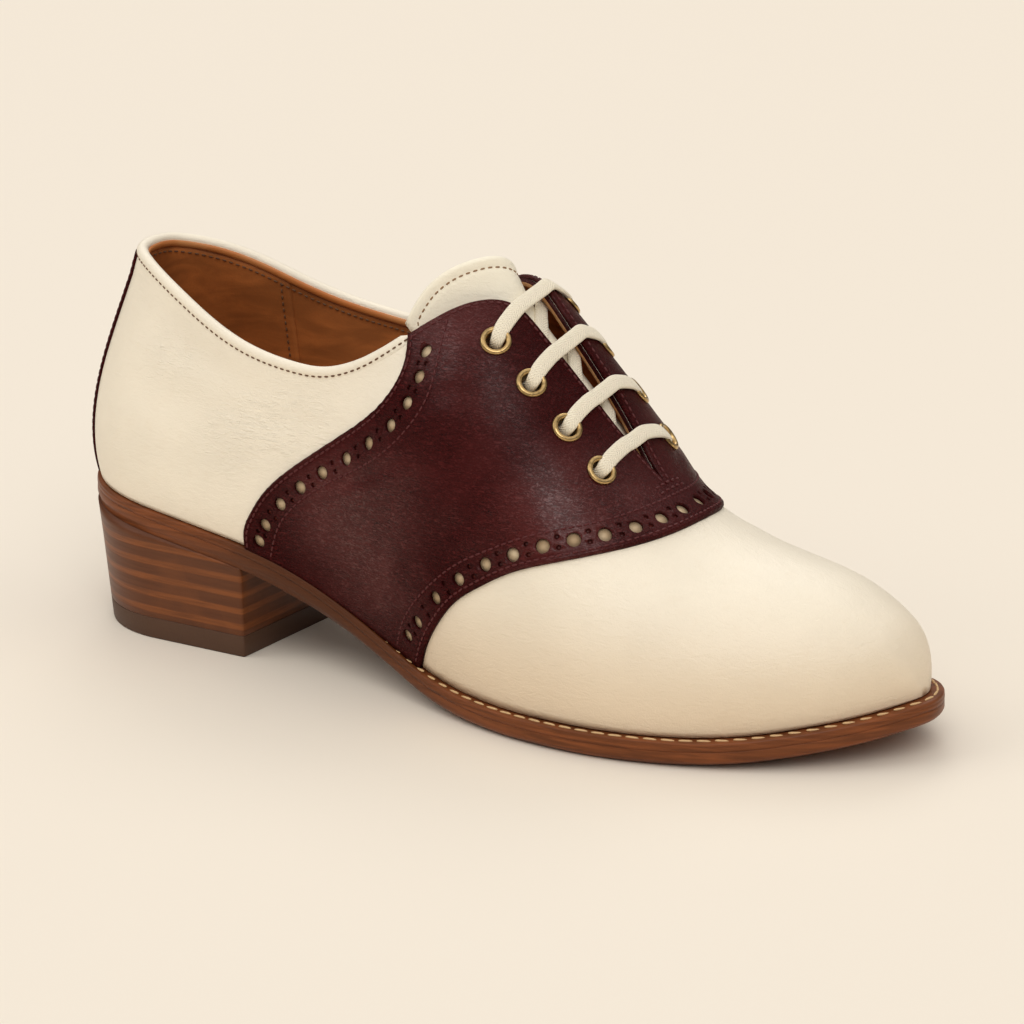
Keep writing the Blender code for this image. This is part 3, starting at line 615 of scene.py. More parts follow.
def shell(outer, inner, first, rim_rows=(True, True), top_open=None, fold=None, folded=None):
    """Points and faces of a closed wall between two grids. Gives the finish of each face too.
    With a fold, the top rim bends through its points, and folded tells where it is covered."""
    rows, columns = outer.shape[:2]
    count = rows * columns
    points = [outer.reshape(-1, 3), inner.reshape(-1, 3)]
    faces = grid_faces(rows, columns, first) + grid_faces(rows, columns, first + count, flip=True)
    quads = (rows - 1) * (columns - 1)
    finishes = [0] * quads + [1] * quads
    index = np.arange(count).reshape(rows, columns) + first
    rim = []
    if fold is not None:
        points.append(fold)
    for i in range(rows - 1):
        a, b = index[i + 1, 0], index[i, 0]
        rim.append(((a, b, b + count, a + count), 2))
        if top_open is None or top_open[i]:
            a, b = index[i, -1], index[i + 1, -1]
            if fold is None:
                rim.append(((a, b, b + count, a + count), 2))
            else:
                c, d = first + 2 * count + i, first + 2 * count + i + 1
                rim.append(((a, b, d, c), 3 if folded[i] else 2))
                rim.append(((c, d, b + count, a + count), 2))
    for j in range(columns - 1):
        if rim_rows[0]:
            a, b = index[0, j], index[0, j + 1]
            rim.append(((a, b, b + count, a + count), 2))
        if rim_rows[1]:
            a, b = index[-1, j], index[-1, j + 1]
            rim.append(((b, a, a + count, b + count), 2))
    faces += [tuple(int(v) for v in face) for face, finish in rim]
    finishes += [finish for face, finish in rim]
    return np.concatenate(points), faces, finishes


def rounded(distance, radius):
    """Share of full thickness near a rounded edge."""
    share = np.clip(distance / radius, 0, 1)
    return np.sqrt(np.maximum(1 - (1 - share) ** 2, 0))


def close_to_ends(count, ends, steps):
    """Values from 0 to 1 with extra steps close to the named ends."""
    values = np.linspace(0, 1, count)
    near = np.asarray(steps)
    if "start" in ends:
        values = np.r_[values, near]
    if "end" in ends:
        values = np.r_[values, 1 - near]
    values = np.unique(np.round(values, 5))
    keep = np.r_[True, np.diff(values) > 0.0012]
    keep[-1] = True
    return values[keep]


def evaluated_copy(source, name):
    """Plain mesh object from an object with modifiers. The source is removed."""
    bpy.context.view_layer.update()
    graph = bpy.context.evaluated_depsgraph_get()
    mesh = bpy.data.meshes.new_from_object(source.evaluated_get(graph), depsgraph=graph)
    bpy.data.objects.remove(source)
    mesh.name = name
    return new_object(name, mesh)


def cut_with(target, cutter, name):
    """The target with the cutter's form taken out, as a plain mesh."""
    cut = target.modifiers.new("holes", "BOOLEAN")
    cut.object = cutter
    cut.solver = "EXACT"
    made = evaluated_copy(target, name)
    bpy.data.objects.remove(cutter)
    return made


def sweep(path, across, widths, thicks, sides):
    """Points, faces and map of a closed flat-oval tube along a path."""
    run = unit(np.gradient(path, axis=0))
    across = unit(across - run * (across * run).sum(-1, keepdims=True))
    out = np.cross(run, across)
    angle = np.linspace(0, 2 * np.pi, sides, endpoint=False)
    flat = np.sign(np.cos(angle)) * np.abs(np.cos(angle)) ** 0.8
    thick = np.sign(np.sin(angle)) * np.abs(np.sin(angle)) ** 0.8
    rings = (
        path[:, None]
        + across[:, None] * (flat[None, :, None] * widths[:, None, None] / 2)
        + out[:, None] * (thick[None, :, None] * thicks[:, None, None] / 2)
    )
    along = np.r_[0, np.cumsum(np.linalg.norm(np.diff(path, axis=0), axis=1))]
    uv = np.stack([np.tile(flat * 0.5, len(path)), np.repeat(along / 4.6, sides)], -1)
    return rings.reshape(-1, 3), tube_faces(len(path), sides), uv


def ride(piece, slot, *nodes):
    """The piece moves with the shoe, and stands for the named nodes of the plain model."""
    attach(piece, "root")
    if nodes:
        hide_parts(*nodes)
    return piece


def smooth_path(points, count):
    """Even samples of a smooth curve through the points."""
    points = np.asarray(points, float)
    along = np.r_[0, np.cumsum(np.linalg.norm(np.diff(points, axis=0), axis=1))]
    marks = np.linspace(0, along[-1], count)
    return np.stack([spline(along, points[:, k])(marks) for k in range(3)], -1)


# Materials


def add_node(tree, kind, settings, inputs):
    """Node in a tree: its settings are set first, then the values or links of its sockets."""
    made = tree.nodes.new(kind)
    for name, value in settings.items():
        setattr(made, name, value)
    for name, value in inputs.items():
        join(tree, value, made.inputs[name])
    return made


def join(tree, value, socket):
    """The socket linked to a Wire or another socket, or set to a value."""
    if isinstance(value, Wire):
        value = value.socket
    if isinstance(value, bpy.types.NodeSocket):
        tree.links.new(value, socket)
    elif isinstance(value, tuple) and len(value) == 3 and socket.type == "RGBA":
        socket.default_value = (*value, 1)
    else:
        socket.default_value = value


class Wire:
    """A number on its way through a shader, which Python sums can be written with."""

    def __init__(self, finish, socket):
        self.finish = finish
        self.socket = socket

    def sum(self, operation, *values, clamp=False):
        """Result of a Math node on the values."""
        settings = {"operation": operation, "use_clamp": clamp}
        return self.finish.node("ShaderNodeMath", settings, dict(enumerate(values)))

    def __add__(self, other):
        return self.sum("ADD", self, other)

    __radd__ = __add__

    def __sub__(self, other):
        return self.sum("SUBTRACT", self, other)

    def __rsub__(self, other):
        return self.sum("SUBTRACT", other, self)

    def __mul__(self, other):
        return self.sum("MULTIPLY", self, other)

    __rmul__ = __mul__

    def __truediv__(self, other):
        return self.sum("DIVIDE", self, other)

    def __abs__(self):
        return self.sum("ABSOLUTE", self)

    def fraction(self):
        """What the value has behind its decimal point."""
        return self.sum("FRACT", self)

    def clamped(self):
        """The value kept between 0 and 1."""
        return self.sum("ADD", self, 0.0, clamp=True)

    def between(self, low, high):
        """0 below the low value, 1 above the high one, smooth from one to the other."""
        return self.finish.node(
            "ShaderNodeMapRange",
            {"interpolation_type": "SMOOTHSTEP"},
            {"Value": self, "From Min": low, "From Max": high},
            output="Result",
        )


class Finish:
    """A material that is built node by node."""

    def __init__(self, name, metallic=0.0, coat=0.0, coat_roughness=0.2, specular=0.5, sheen=0.0):
        self.material = bpy.data.materials.new(name)
        self.material.use_nodes = True
        self.tree = self.material.node_tree
        self.shader = self.tree.nodes["Principled BSDF"]
        self.set("Metallic", metallic)
        self.set("Coat Weight", coat)
        self.set("Coat Roughness", coat_roughness)
        self.set("Specular IOR Level", specular)
        self.set("Sheen Weight", sheen)
        self.place = self.node("ShaderNodeTexCoord", {}, {}, "Object")

    def set(self, name, value):
        """Value or link of one of the shader's sockets."""
        join(self.tree, value, self.shader.inputs[name])

    def node(self, kind, settings, inputs, output=0):
        """A node with its settings and inputs. Gives the named output as a Wire."""
        return Wire(self, add_node(self.tree, kind, settings, inputs).outputs[output])

    def stretched(self, x, y, z, turn=(0, 0, 0)):
        """The place, stretched and turned."""
        inputs = {"Vector": self.place, "Scale": (x, y, z), "Rotation": turn}
        return self.node("ShaderNodeMapping", {"vector_type": "POINT"}, inputs)

    def noise(self, size, detail=2.0, distortion=0.0, vector=None):
        """Soft noise whose features have about the given size in millimetres."""
        inputs = {
            "Vector": vector or self.place,
            "Scale": 1 / (size * MM),
            "Detail": detail,
            "Distortion": distortion,
        }
        return self.node("ShaderNodeTexNoise", {}, inputs)

    def cells(self, size, vector):
        """Distance to the edges of cells of about the given size in millimetres."""
        settings = {"feature": "DISTANCE_TO_EDGE"}
        inputs = {"Vector": vector, "Scale": 1 / (size * MM)}
        return self.node("ShaderNodeTexVoronoi", settings, inputs, "Distance")

    def distance_from(self, x, y, z):
        """Distance in metres from a point given in millimetres."""
        inputs = {0: self.place, 1: (x * MM, y * MM, z * MM)}
        return self.node("ShaderNodeVectorMath", {"operation": "DISTANCE"}, inputs, "Value")

    def blend(self, share, first, second):
        """Colour between two colours."""
        inputs = {0: share, 6: first, 7: second}
        return self.node("ShaderNodeMix", {"data_type": "RGBA"}, inputs, 2)

    def part(self, vector, axis):
        """One coordinate of a vector."""
        return self.node("ShaderNodeSeparateXYZ", {}, {"Vector": vector}, axis)

    def coordinate(self, axis):
        """One coordinate of the place, in millimetres."""
        return self.part(self.place, axis) * (1 / MM)

    def bump(self, *layers):
        """Bump from pairs of a height and its depth in millimetres."""
        normal = None
        for height, depth in layers:
            inputs = {"Height": height, "Distance": depth * MM, "Strength": 1.0}
            if normal:
                inputs["Normal"] = normal
            normal = self.node("ShaderNodeBump", {}, inputs, "Normal")
        self.set("Normal", normal)

    def ridges(self, size, distortion, vector):
        """Thin valleys of a noise, 0 at their bottoms."""
        return abs(self.noise(size, 3, distortion, vector) - 0.5) * 4

    def dressed(self, colour, roughness, *layers):
        """The material, with its colour, its roughness and the layers of its bump."""
        self.set("Base Color", colour)
        self.set("Roughness", roughness)
        if layers:
            self.bump(*layers)
        return self.material


def shade(colour, factor):
    """A colour made lighter or darker."""
    return tuple(min(value * factor, 1) for value in colour)


# Where the pale leather is crinkled: middle of the place and its reach, in millimetres
WORN = [(46, -28, 68, 24), (4, -25, 80, 18), (26, -27, 62, 20), (30, 26, 74, 30), (152, -4, 56, 14)]


def smooth_leather(name, colour, warm, rough=0.42):
    """Pale smooth leather with a fine grain and a slightly uneven dye."""
    finish = Finish(name, coat=0.06, coat_roughness=0.36, specular=0.42)
    cloud = finish.noise(26, 3)
    flecks = finish.noise(3.5, 4, 0.4)
    low = 1 - finish.coordinate("Z").between(10, 46)
    base = finish.blend(cloud.between(0.35, 0.7), colour, shade(colour, 0.95))
    base = finish.blend(flecks.between(0.5, 0.8) * 0.06, base, warm)
    # Warmer and darker towards the bottom.
    base = finish.blend(low * 0.6, base, warm)
    grain = finish.cells(0.75, finish.stretched(1, 1, 0.8))
    fine = finish.noise(0.35, 3, 0.3)
    wrinkle = finish.noise(2.6, 3, 1.4, finish.stretched(0.55, 1, 1.5, (0, 0.6, 0)))
    worn = 0.0
    for x, y, z, reach in WORN:
        away = finish.distance_from(x, y, z)
        worn = (1 - away.between(0.2 * reach * MM, reach * MM)) + worn
    lines = finish.ridges(1.5, 1.0, finish.stretched(0.4, 1, 1.5, (0, 0.5, 0))).clamped()
    layers = (wrinkle, 0.16), (lines * worn, 0.13), (grain.between(0, 0.16), 0.022), (fine, 0.03)
    return finish.dressed(base, flecks * 0.12 + (rough - 0.05), *layers)


# Where the saddle is polished, with a highlight painted into its colour there: middle of the place
# in millimetres, reach and strength
POLISH_AND_HIGHLIGHT_SPOTS = [
    (117, -36, 54, 28, 0.6),
    (131, -29, 60, 30, 0.85),
    (142, -12, 62, 28, 0.6),
    (56, -31, 46, 26, 0.7),
    (68, -32, 52, 28, 0.65),
    (84, -34, 58, 28, 0.7),
    (88, -18, 98, 26, 1.0),
    (104, -24, 84, 26, 0.6),
    (76, -31, 32, 30, 0.9),
    (131, 28, 60, 36, 0.9),
    (80, 30, 60, 36, 0.8),
    (95, 17, 98, 26, 1.0),
]


def creased_leather(name, colour):
    """Dark polished leather with a crumpled grain that catches the light."""
    finish = Finish(name, coat_roughness=0.28, specular=0.04)
    finish.set("Coat IOR", 1.65)
    cloud = finish.noise(24, 3, 0.5)
    polish_and_highlight = 0.02
    for x, y, z, reach, strength in POLISH_AND_HIGHLIGHT_SPOTS:
        away = finish.distance_from(x, y, z) + cloud * 0.35 * reach * MM
        polish_and_highlight = (1 - away.between(0.05 * reach * MM, 1.1 * reach * MM)) * strength + polish_and_highlight
    long = finish.stretched(0.5, 1, 1.5, (0.2, 0.35, 0.1))
    ridges = finish.ridges(1.8, 1.2, long)
    folds = finish.ridges(0.9, 0.9, long)
    crisp = finish.noise(0.3, 3)
    base = finish.blend(cloud.between(0.3, 0.7), shade(colour, 0.75), shade(colour, 1.12))
    open_grain = folds.between(0.05, 0.4) * ridges.between(0.0, 0.35)
    base = finish.blend(open_grain, shade(colour, 0.55), base)
    grain = folds.between(0.08, 0.5) * (ridges.between(0.02, 0.5) * 0.55 + 0.45)
    grain = grain * 0.7 + 0.3
    # Painted highlight: at the polished spots the colour is lightened towards a brighter red.
    base = finish.blend(polish_and_highlight.clamped() * (grain * 0.25 + 0.2), base, srgb(118, 50, 46))
    finish.set("Coat Weight", (polish_and_highlight * grain * 0.55).clamped())
    deep = cloud.between(0.36, 0.6) * 0.6 + 0.4
    layers = (ridges.clamped() * deep, 0.45), (folds.clamped() * deep, 0.32), (crisp, 0.02)
    return finish.dressed(base, crisp * 0.12 + 0.34, *layers)


def plain_leather(name, colour, dark, rough=0.62):
    """Lining leather: matt, rubbed, with soft streaks."""
    finish = Finish(name, specular=0.35)
    streak = finish.noise(9, 4, 0.6, finish.stretched(0.4, 1, 1.6, (0, 0.3, 0)))
    pores = finish.noise(0.5, 3)
    base = finish.blend(streak.between(0.3, 0.75), dark, colour)
    base = finish.blend(pores.between(0.45, 0.8) * 0.25, base, dark)
    return finish.dressed(base, pores * 0.15 + rough - 0.08, (streak, 0.1), (pores, 0.04))


def edge_leather(name, colour):
    """Waxed edge of the sole: long fibres with a polish."""
    finish = Finish(name, coat=0.04, coat_roughness=0.3, specular=0.2)
    fibres = finish.noise(1.1, 5, 0.4, finish.stretched(0.07, 0.07, 1.0))
    patches = finish.noise(16, 3, 0.5)
    base = finish.blend(fibres.between(0.3, 0.7), shade(colour, 0.66), shade(colour, 1.25))
    base = finish.blend(patches.between(0.4, 0.7) * 0.4, base, shade(colour, 0.75))
    # The edge is much darker along the shank.
    along = finish.coordinate("X")
    shank = along.between(5, 40) * (1 - along.between(60, 120))
    base = finish.blend(shank * 0.85, base, shade(colour, 0.36))
    layers = (fibres, 0.06), (finish.noise(0.5, 3), 0.02)
    return finish.dressed(base, fibres * 0.15 + 0.36, *layers)


def stacked_leather(name, lift, stripe, pitch, first, thick):
    """Leather lifts with a light joint above each: level stripes that waver a little."""
    finish = Finish(name, coat=0.05, coat_roughness=0.3, specular=0.24)
    waver = finish.noise(13, 2, 0, finish.stretched(1, 1, 0.1))
    fibres = finish.noise(0.9, 5, 0.5, finish.stretched(0.06, 0.06, 1.0))
    patches = finish.noise(11, 3, 0.6, finish.stretched(1, 1, 0.5))
    z = finish.coordinate("Z") + waver * 0.5 - 0.25
    turn = ((z - first) / pitch).fraction()
    centre = abs(turn - 0.5) * pitch
    light = 1 - centre.between(thick * 0.36, thick * 0.66)
    above = z.between(first + pitch * 5, first + pitch * 5.1)
    within = z.between(first - pitch * 0.1, first) * (1 - above)
    base = finish.blend(light * within * (patches * 0.5 + 0.6).clamped(), lift, stripe)
    base = finish.blend(fibres.between(0.35, 0.7) * 0.55, base, shade(lift, 0.72))
    base = finish.blend(patches.between(0.5, 0.75) * 0.25, base, shade(stripe, 0.9))
    layers = (fibres, 0.05), (centre.between(thick * 0.42, thick * 0.6), 0.03)
    return finish.dressed(base, fibres * 0.15 + 0.34, *layers)


def rubber(name, colour):
    """Dull top piece with a faint grain."""
    finish = Finish(name, specular=0.35)
    grain = finish.noise(0.6, 3)
    cloud = finish.noise(9, 3)
    base = finish.blend(cloud, shade(colour, 0.85), shade(colour, 1.12))
    return finish.dressed(base, grain * 0.12 + 0.48, (grain, 0.04))


def aged_brass(name, colour):
    """Brass ring, bright where it is rubbed and brown in its hollows."""
    finish = Finish(name, metallic=1.0)
    stain = finish.noise(1.4, 4, 0.5)
    fine = finish.noise(0.25, 2)
    base = finish.blend(stain.between(0.4, 0.75), colour, shade(colour, 0.5))
    return finish.dressed(base, stain * 0.2 + 0.2, (stain, 0.03), (fine, 0.008))


def woven_lace(name, colour):
    """Flat woven lace: slanting yarns that cross in the middle, a soft sheen."""
    finish = Finish(name, sheen=0.25, specular=0.25)
    uv = finish.node("ShaderNodeUVMap", {"uv_map": "UVMap"}, {}, output="UV")
    across, along = finish.part(uv, "X"), finish.part(uv, "Y")
    yarn = abs((along * 5.5 + abs(across) * 5.0).fraction() - 0.5) * 2
    plait = abs((across * 7.0).fraction() - 0.5) * 2
    fuzz = finish.noise(0.3, 3)
    cloud = finish.noise(2.5, 3)
    base = finish.blend(yarn.between(0.1, 0.9) * 0.6, colour, shade(colour, 0.88))
    base = finish.blend(cloud.between(0.4, 0.7) * 0.3, base, shade(colour, 0.94))
    return finish.dressed(base, fuzz * 0.1 + 0.8, (yarn, 0.16), (plait, 0.05), (fuzz, 0.07))


def thread(name, colour, rough=0.6):
    """Twisted thread."""
    finish = Finish(name, specular=0.35)
    twist = finish.noise(0.22, 2, 0, finish.stretched(1, 0.3, 1, (0.6, 0.4, 0.7)))
    base = finish.blend(twist, shade(colour, 0.8), shade(colour, 1.15))
    return finish.dressed(base, twist * 0.1 + rough, (twist, 0.05))


def plain_floor(name, colour):
    """Even matt floor."""
    finish = Finish(name, specular=0.1)
    cloud = finish.noise(400, 2)
    return finish.dressed(finish.blend(cloud, shade(colour, 0.995), colour), 0.9)


MATERIALS = {}


def material(name):
    """The named material of this shoe, made once."""
    if name in MATERIALS:
        return MATERIALS[name]
    tint = colours()
    pitch = sizes()["stripe"]
    warm = srgb(222, 194, 158)
    makers = {
        "cream_leather": lambda n: smooth_leather(n, tint["cream"], warm),
        "cream_edge": lambda n: plain_leather(n, srgb(205, 160, 112), srgb(150, 98, 56)),
        # Painted light: the tongue wears a lighter copy of the cream, so that it looks more
        # brightly lit.
        "tongue_leather": lambda n: smooth_leather(n, shade(tint["cream"], 1.07), warm, 0.46),
        "burgundy_leather": lambda n: creased_leather(n, tint["burgundy"]),
        "burgundy_edge": lambda n: creased_leather(n, shade(tint["burgundy"], 0.62)),
        # The two punch finishes paint the shade inside the large and the small holes.
        "punch_floor": lambda n: plain_leather(n, srgb(222, 199, 164), srgb(184, 156, 120), 0.6),
        "punch_dark": lambda n: plain_leather(n, srgb(104, 40, 30), srgb(60, 20, 18), 0.5),
        "lining_leather": lambda n: plain_leather(n, tint["lining"], shade(tint["lining"], 0.6)),
        "lining_edge": lambda n: plain_leather(n, srgb(196, 132, 78), tint["lining"], 0.5),
        "sole_edge": lambda n: edge_leather(n, tint["sole"]),
        "heel_stack": lambda n: stacked_leather(n, tint["lift"], tint["stripe"], pitch, 6.3, 1.7),
        "top_piece": lambda n: rubber(n, tint["top_piece"]),
        "aged_brass": lambda n: aged_brass(n, tint["brass"]),
        "woven_lace": lambda n: woven_lace(n, tint["lace"]),
        "dark_thread": lambda n: thread(n, tint["dark_thread"]),
        "tan_thread": lambda n: thread(n, srgb(150, 116, 82)),
        "red_thread": lambda n: thread(n, tint["red_thread"], 0.45),
        "welt_thread": lambda n: thread(n, tint["welt_thread"]),
        "plain_floor": lambda n: plain_floor(n, tint["floor"]),
    }
    MATERIALS[name] = makers[name](name)
    return MATERIALS[name]


# Repeated details by Geometry Nodes


def new_tree(name, inputs):
    """Geometry node tree with named inputs. Gives the tree, its input and its output node."""
    tree = bpy.data.node_groups.new(name, "GeometryNodeTree")
    tree.interface.new_socket("Geometry", in_out="INPUT", socket_type="NodeSocketGeometry")
    tree.interface.new_socket("Geometry", in_out="OUTPUT", socket_type="NodeSocketGeometry")
    for label, kind, default in inputs:
        socket = tree.interface.new_socket(label, in_out="INPUT", socket_type=kind)
        if default is not None:
            socket.default_value = default
    return tree, tree.nodes.new("NodeGroupInput"), tree.nodes.new("NodeGroupOutput")


def instance_tree():
    """Tree that sets a small form on each point, turned by the points' facing and along values.
    With a spacing above zero, the points are first spread evenly over the edges."""
    if "set_along_row" in bpy.data.node_groups:
        return bpy.data.node_groups["set_along_row"]
    tree, source, result = new_tree(
        "set_along_row",
        [
            ("Form", "NodeSocketObject", None),
            ("Spacing", "NodeSocketFloat", 0.002),
            ("Even Row", "NodeSocketBool", True),
            ("Turn", "NodeSocketFloat", 0.0),
            ("Seed", "NodeSocketInt", 7),
            ("Material", "NodeSocketMaterial", None),
        ],
    )
    given = source.outputs
    vector = "FLOAT_VECTOR"

    def node(kind, inputs, **settings):
        return add_node(tree, kind, settings, inputs).outputs

    def named(attribute):
        made = node("GeometryNodeInputNamedAttribute", {"Name": attribute}, data_type=vector)
        return made["Attribute"]

    curve = node("GeometryNodeMeshToCurve", {"Mesh": given["Geometry"]})["Curve"]
    even = {"Curve": curve, "Length": given["Spacing"]}
    even = node("GeometryNodeResampleCurve", even, mode="LENGTH")["Curve"]
    points = node("GeometryNodeCurveToPoints", {"Curve": even}, mode="EVALUATED")
    along = {"Geometry": points["Points"], "Name": "along", "Value": points["Tangent"]}
    along = node("GeometryNodeStoreNamedAttribute", along, data_type=vector, domain="POINT")
    rows = {"False": given["Geometry"], "True": along["Geometry"]}
    chosen = {"Switch": given["Even Row"], **rows}
    chosen = node("GeometryNodeSwitch", chosen, input_type="GEOMETRY")["Output"]
    axes = {"Primary Axis": named("facing"), "Secondary Axis": named("along")}
    turn = node("FunctionNodeAxesToRotation", axes, primary_axis="Z", secondary_axis="X")
    most = {0: (0, 0, 1), "Scale": given["Turn"]}
    most = node("ShaderNodeVectorMath", most, operation="SCALE")["Vector"]
    least = node("ShaderNodeVectorMath", {0: most, "Scale": -1}, operation="SCALE")["Vector"]
    wobble = {"Seed": given["Seed"], "Max": most, "Min": least}
    wobble = node("FunctionNodeRandomValue", wobble, data_type=vector)["Value"]
    turned = {"Rotation": turn["Rotation"], "Rotate By": wobble}
    turned = node("FunctionNodeRotateRotation", turned, rotation_space="LOCAL")["Rotation"]
    form = node("GeometryNodeObjectInfo", {"Object": given["Form"]})["Geometry"]
    copies = {"Points": chosen, "Instance": form, "Rotation": turned}
    copies = node("GeometryNodeInstanceOnPoints", copies)["Instances"]
    real = node("GeometryNodeRealizeInstances", {"Geometry": copies})["Geometry"]
    paint = {"Geometry": real, "Material": given["Material"]}
    paint = node("GeometryNodeSetMaterial", paint)["Geometry"]
    join(tree, paint, result.inputs["Geometry"])
    return tree


def row_mesh(name, rows, facings, alongs=None):
    """Mesh of points, or of polylines, that carries the way each point faces."""
    mesh = bpy.data.meshes.new(name)
    points = np.concatenate(rows) * MM
    edges = []
    if alongs is None:
        first = 0
        for row in rows:
            edges += [(first + i, first + i + 1) for i in range(len(row) - 1)]
            first += len(row)
    mesh.from_pydata(points.tolist(), edges, [])
    facing = mesh.attributes.new("facing", "FLOAT_VECTOR", "POINT")
    facing.data.foreach_set("vector", np.concatenate(facings).astype(np.float32).ravel())
    if alongs is not None:
        along = mesh.attributes.new("along", "FLOAT_VECTOR", "POINT")
        along.data.foreach_set("vector", np.concatenate(alongs).astype(np.float32).ravel())
    return new_object(name, mesh)


def repeat_form(name, form, source, finish, spacing=0.0, turn=0.0):
    """The form repeated over a row mesh, as one plain mesh object."""
    tree = instance_tree()
    modifier = source.modifiers.new("row", "NODES")
    modifier.node_group = tree
    values = {
        "Form": form,
        "Spacing": spacing * MM,
        "Even Row": spacing > 0,
        "Turn": turn,
        "Seed": sizes()["seed"],
        "Material": finish,
    }
    for item in tree.interface.items_tree:
        if item.in_out == "INPUT" and item.name in values:
            modifier[item.identifier] = values[item.name]
    made = evaluated_copy(source, name)
    made.data.shade_smooth()
    bpy.data.objects.remove(form)
    return made


def stitch_form(length, width, height):
    """One stitch: a long rounded grain, low on the leather."""
    mesh = bpy.data.meshes.new("stitch_form")
    work = bmesh.new()
    lying = Matrix.Rotation(math.pi / 2, 4, "Y")
    bmesh.ops.create_uvsphere(work, u_segments=6, v_segments=5, radius=1, matrix=lying)
    for vert in work.verts:
        x, y, z = vert.co
        fuller = math.copysign(abs(x) ** 0.6, x)
        vert.co = Vector((fuller * length / 2, y * width / 2, z * height / 2)) * MM
    work.to_mesh(mesh)
    work.free()
    return new_object("stitch_form", mesh)


def stitch_line(name, points, facings, spacing, form, finish, turn):
    """Stitches of one form spread over rows of points. The form: length, width and height."""
    source = row_mesh(name + "_rows", points, facings)
    return repeat_form(name, stitch_form(*form), source, material(finish), spacing, turn)


def stitch_rows(name, rows, lift, spacing, form, finish, turn=0.06):
    """Stitches along rows on the wall. Each row gives its side, places and heights."""
    points = [off_wall(*row, lift) for row in rows]
    facings = [wall_normal(*row) for row in rows]
    return stitch_line(name, points, facings, spacing, form, finish, turn)


def cylinder_form(name, width, depth, segments):
    """Round cutter."""
    mesh = bpy.data.meshes.new(name)
    work = bmesh.new()
    radius = width / 2 * MM
    bmesh.ops.create_cone(
        work, cap_ends=True, segments=segments, radius1=radius, radius2=radius, depth=depth * MM
    )
    work.to_mesh(mesh)
    work.free()
    return new_object(name, mesh)


def spot_rows(marks, lift):
    """Points, facings and directions of spots on both sides of the shoe."""
    place, height = np.array(marks).T
    points = []
    facings = []
    alongs = []
    for side in (-1, 1):
        points.append(off_wall(side, place, height, lift))
        facings.append(wall_normal(side, place, height))
        alongs.append(unit(wall(side, place + 0.5, height) - wall(side, place - 0.5, height)))
    return points, facings, alongs


def punch_cutter(name, marks, width, depth, segments, lift):
    """Cutter for round holes at spots on both sides."""
    source = row_mesh(name + "_spots", *spot_rows(marks, lift))
    form = cylinder_form(name + "_form", width, depth, segments)
    return repeat_form(name, form, source, None)


def small_spots(marks, across):
    """Pairs of small punches between the large ones, side by side across the band."""
    place, height = np.array(marks).T
    middle_place = (place[1:] + place[:-1]) / 2
    middle_height = (height[1:] + height[:-1]) / 2
    run = unit(wall(-1, place[1:], height[1:]) - wall(-1, place[:-1], height[:-1]))
    sideways = np.cross(wall_normal(-1, middle_place, middle_height), run)
    centre = wall(-1, middle_place, middle_height)
    side = np.full(len(middle_place), -1.0)
    found = []
    for way in (-1, 1):
        target = centre + sideways * across * way
        found += spots(*zip(*settle(side, middle_place, middle_height, target)))
    return found


# Pieces


def round_grid(half, heights):
    """Sides, places and heights of a grid round the heel, from places on one of its halves."""
    place = np.r_[half[::-1], half[1:]]
    side = np.r_[-np.ones(len(half)), np.ones(len(half) - 1)]
    return alike(side[:, None], place[:, None], heights[None])


def make_upper():
    """Vamp, quarters and facings as one wall."""
    heights = close_to_ends(46, ("end",), [0.004, 0.009, 0.016])
    side, place, height = round_grid(even_places(1.7), heights)
    base, normal = wall_frame(side, place, height)
    outer = base + normal * relief(base)[..., None]
    inner = base - normal * sizes()["wall"]
    open_row = place[:, 0] <= THROAT_PLACE + 0.01
    upward = unit(outer[:, -1] - outer[:, -3])
    fold = outer[:, -1] * 0.45 + inner[:, -1] * 0.55 + upward * 0.3
    points, faces, finishes = shell(
        outer,
        inner,
        0,
        rim_rows=(False, False),
        top_open=open_row[:-1] & open_row[1:],
        fold=fold,
        folded=place[:-1, 0] > 131,
    )
    names = ("cream_leather", "lining_leather", "cream_edge", "burgundy_edge")
    finish_list = [material(name) for name in names]
    upper = finish_mesh("upper_leather", points, faces, finish_list, finishes)
    cutter = punch_cutter("upper_hole_cutter", EYELETS, EYELET_HOLE, 9.0, 20, 0)
    upper = cut_with(upper, cutter, "upper_leather")
    return ride(upper, "cream_leather", "upper")


def saddle_outline(side):
    """Samples of the saddle's free edges on one side: rear, front and along the top line."""
    height = np.linspace(0, 1, 260)
    rear = wall(side, SADDLE_REAR(height), height)
    front = wall(side, SADDLE_FRONT(height), height)
    top = wall(side, np.linspace(SADDLE_REAR(1.0), THROAT_PLACE, 260), 1)
    return rear, front, top


def saddle_grid():
    """Places and heights of one wing of the saddle."""
    top_width = SADDLE_FRONT(1.0) - SADDLE_REAR(1.0)
    throat = float((THROAT_PLACE - SADDLE_REAR(1.0)) / top_width)
    fine_steps = [0.0016, 0.004, 0.007, 0.011, 0.016, 0.022, 0.03]
    share = close_to_ends(74, ("start", "end"), fine_steps)
    share = np.unique(np.r_[share[np.abs(share - throat) > 0.004], throat])
    height = close_to_ends(60, ("end",), [0.0025, 0.006, 0.0105, 0.016])
    height = np.unique(np.round(np.r_[height, np.linspace(0.735, 0.855, 25)], 4))
    height = height[np.r_[True, np.diff(height) > 0.002]]
    share, height = np.meshgrid(share, height, indexing="ij")
    place = SADDLE_REAR(height) + (SADDLE_FRONT(height) - SADDLE_REAR(height)) * share
    return place, height, share, throat


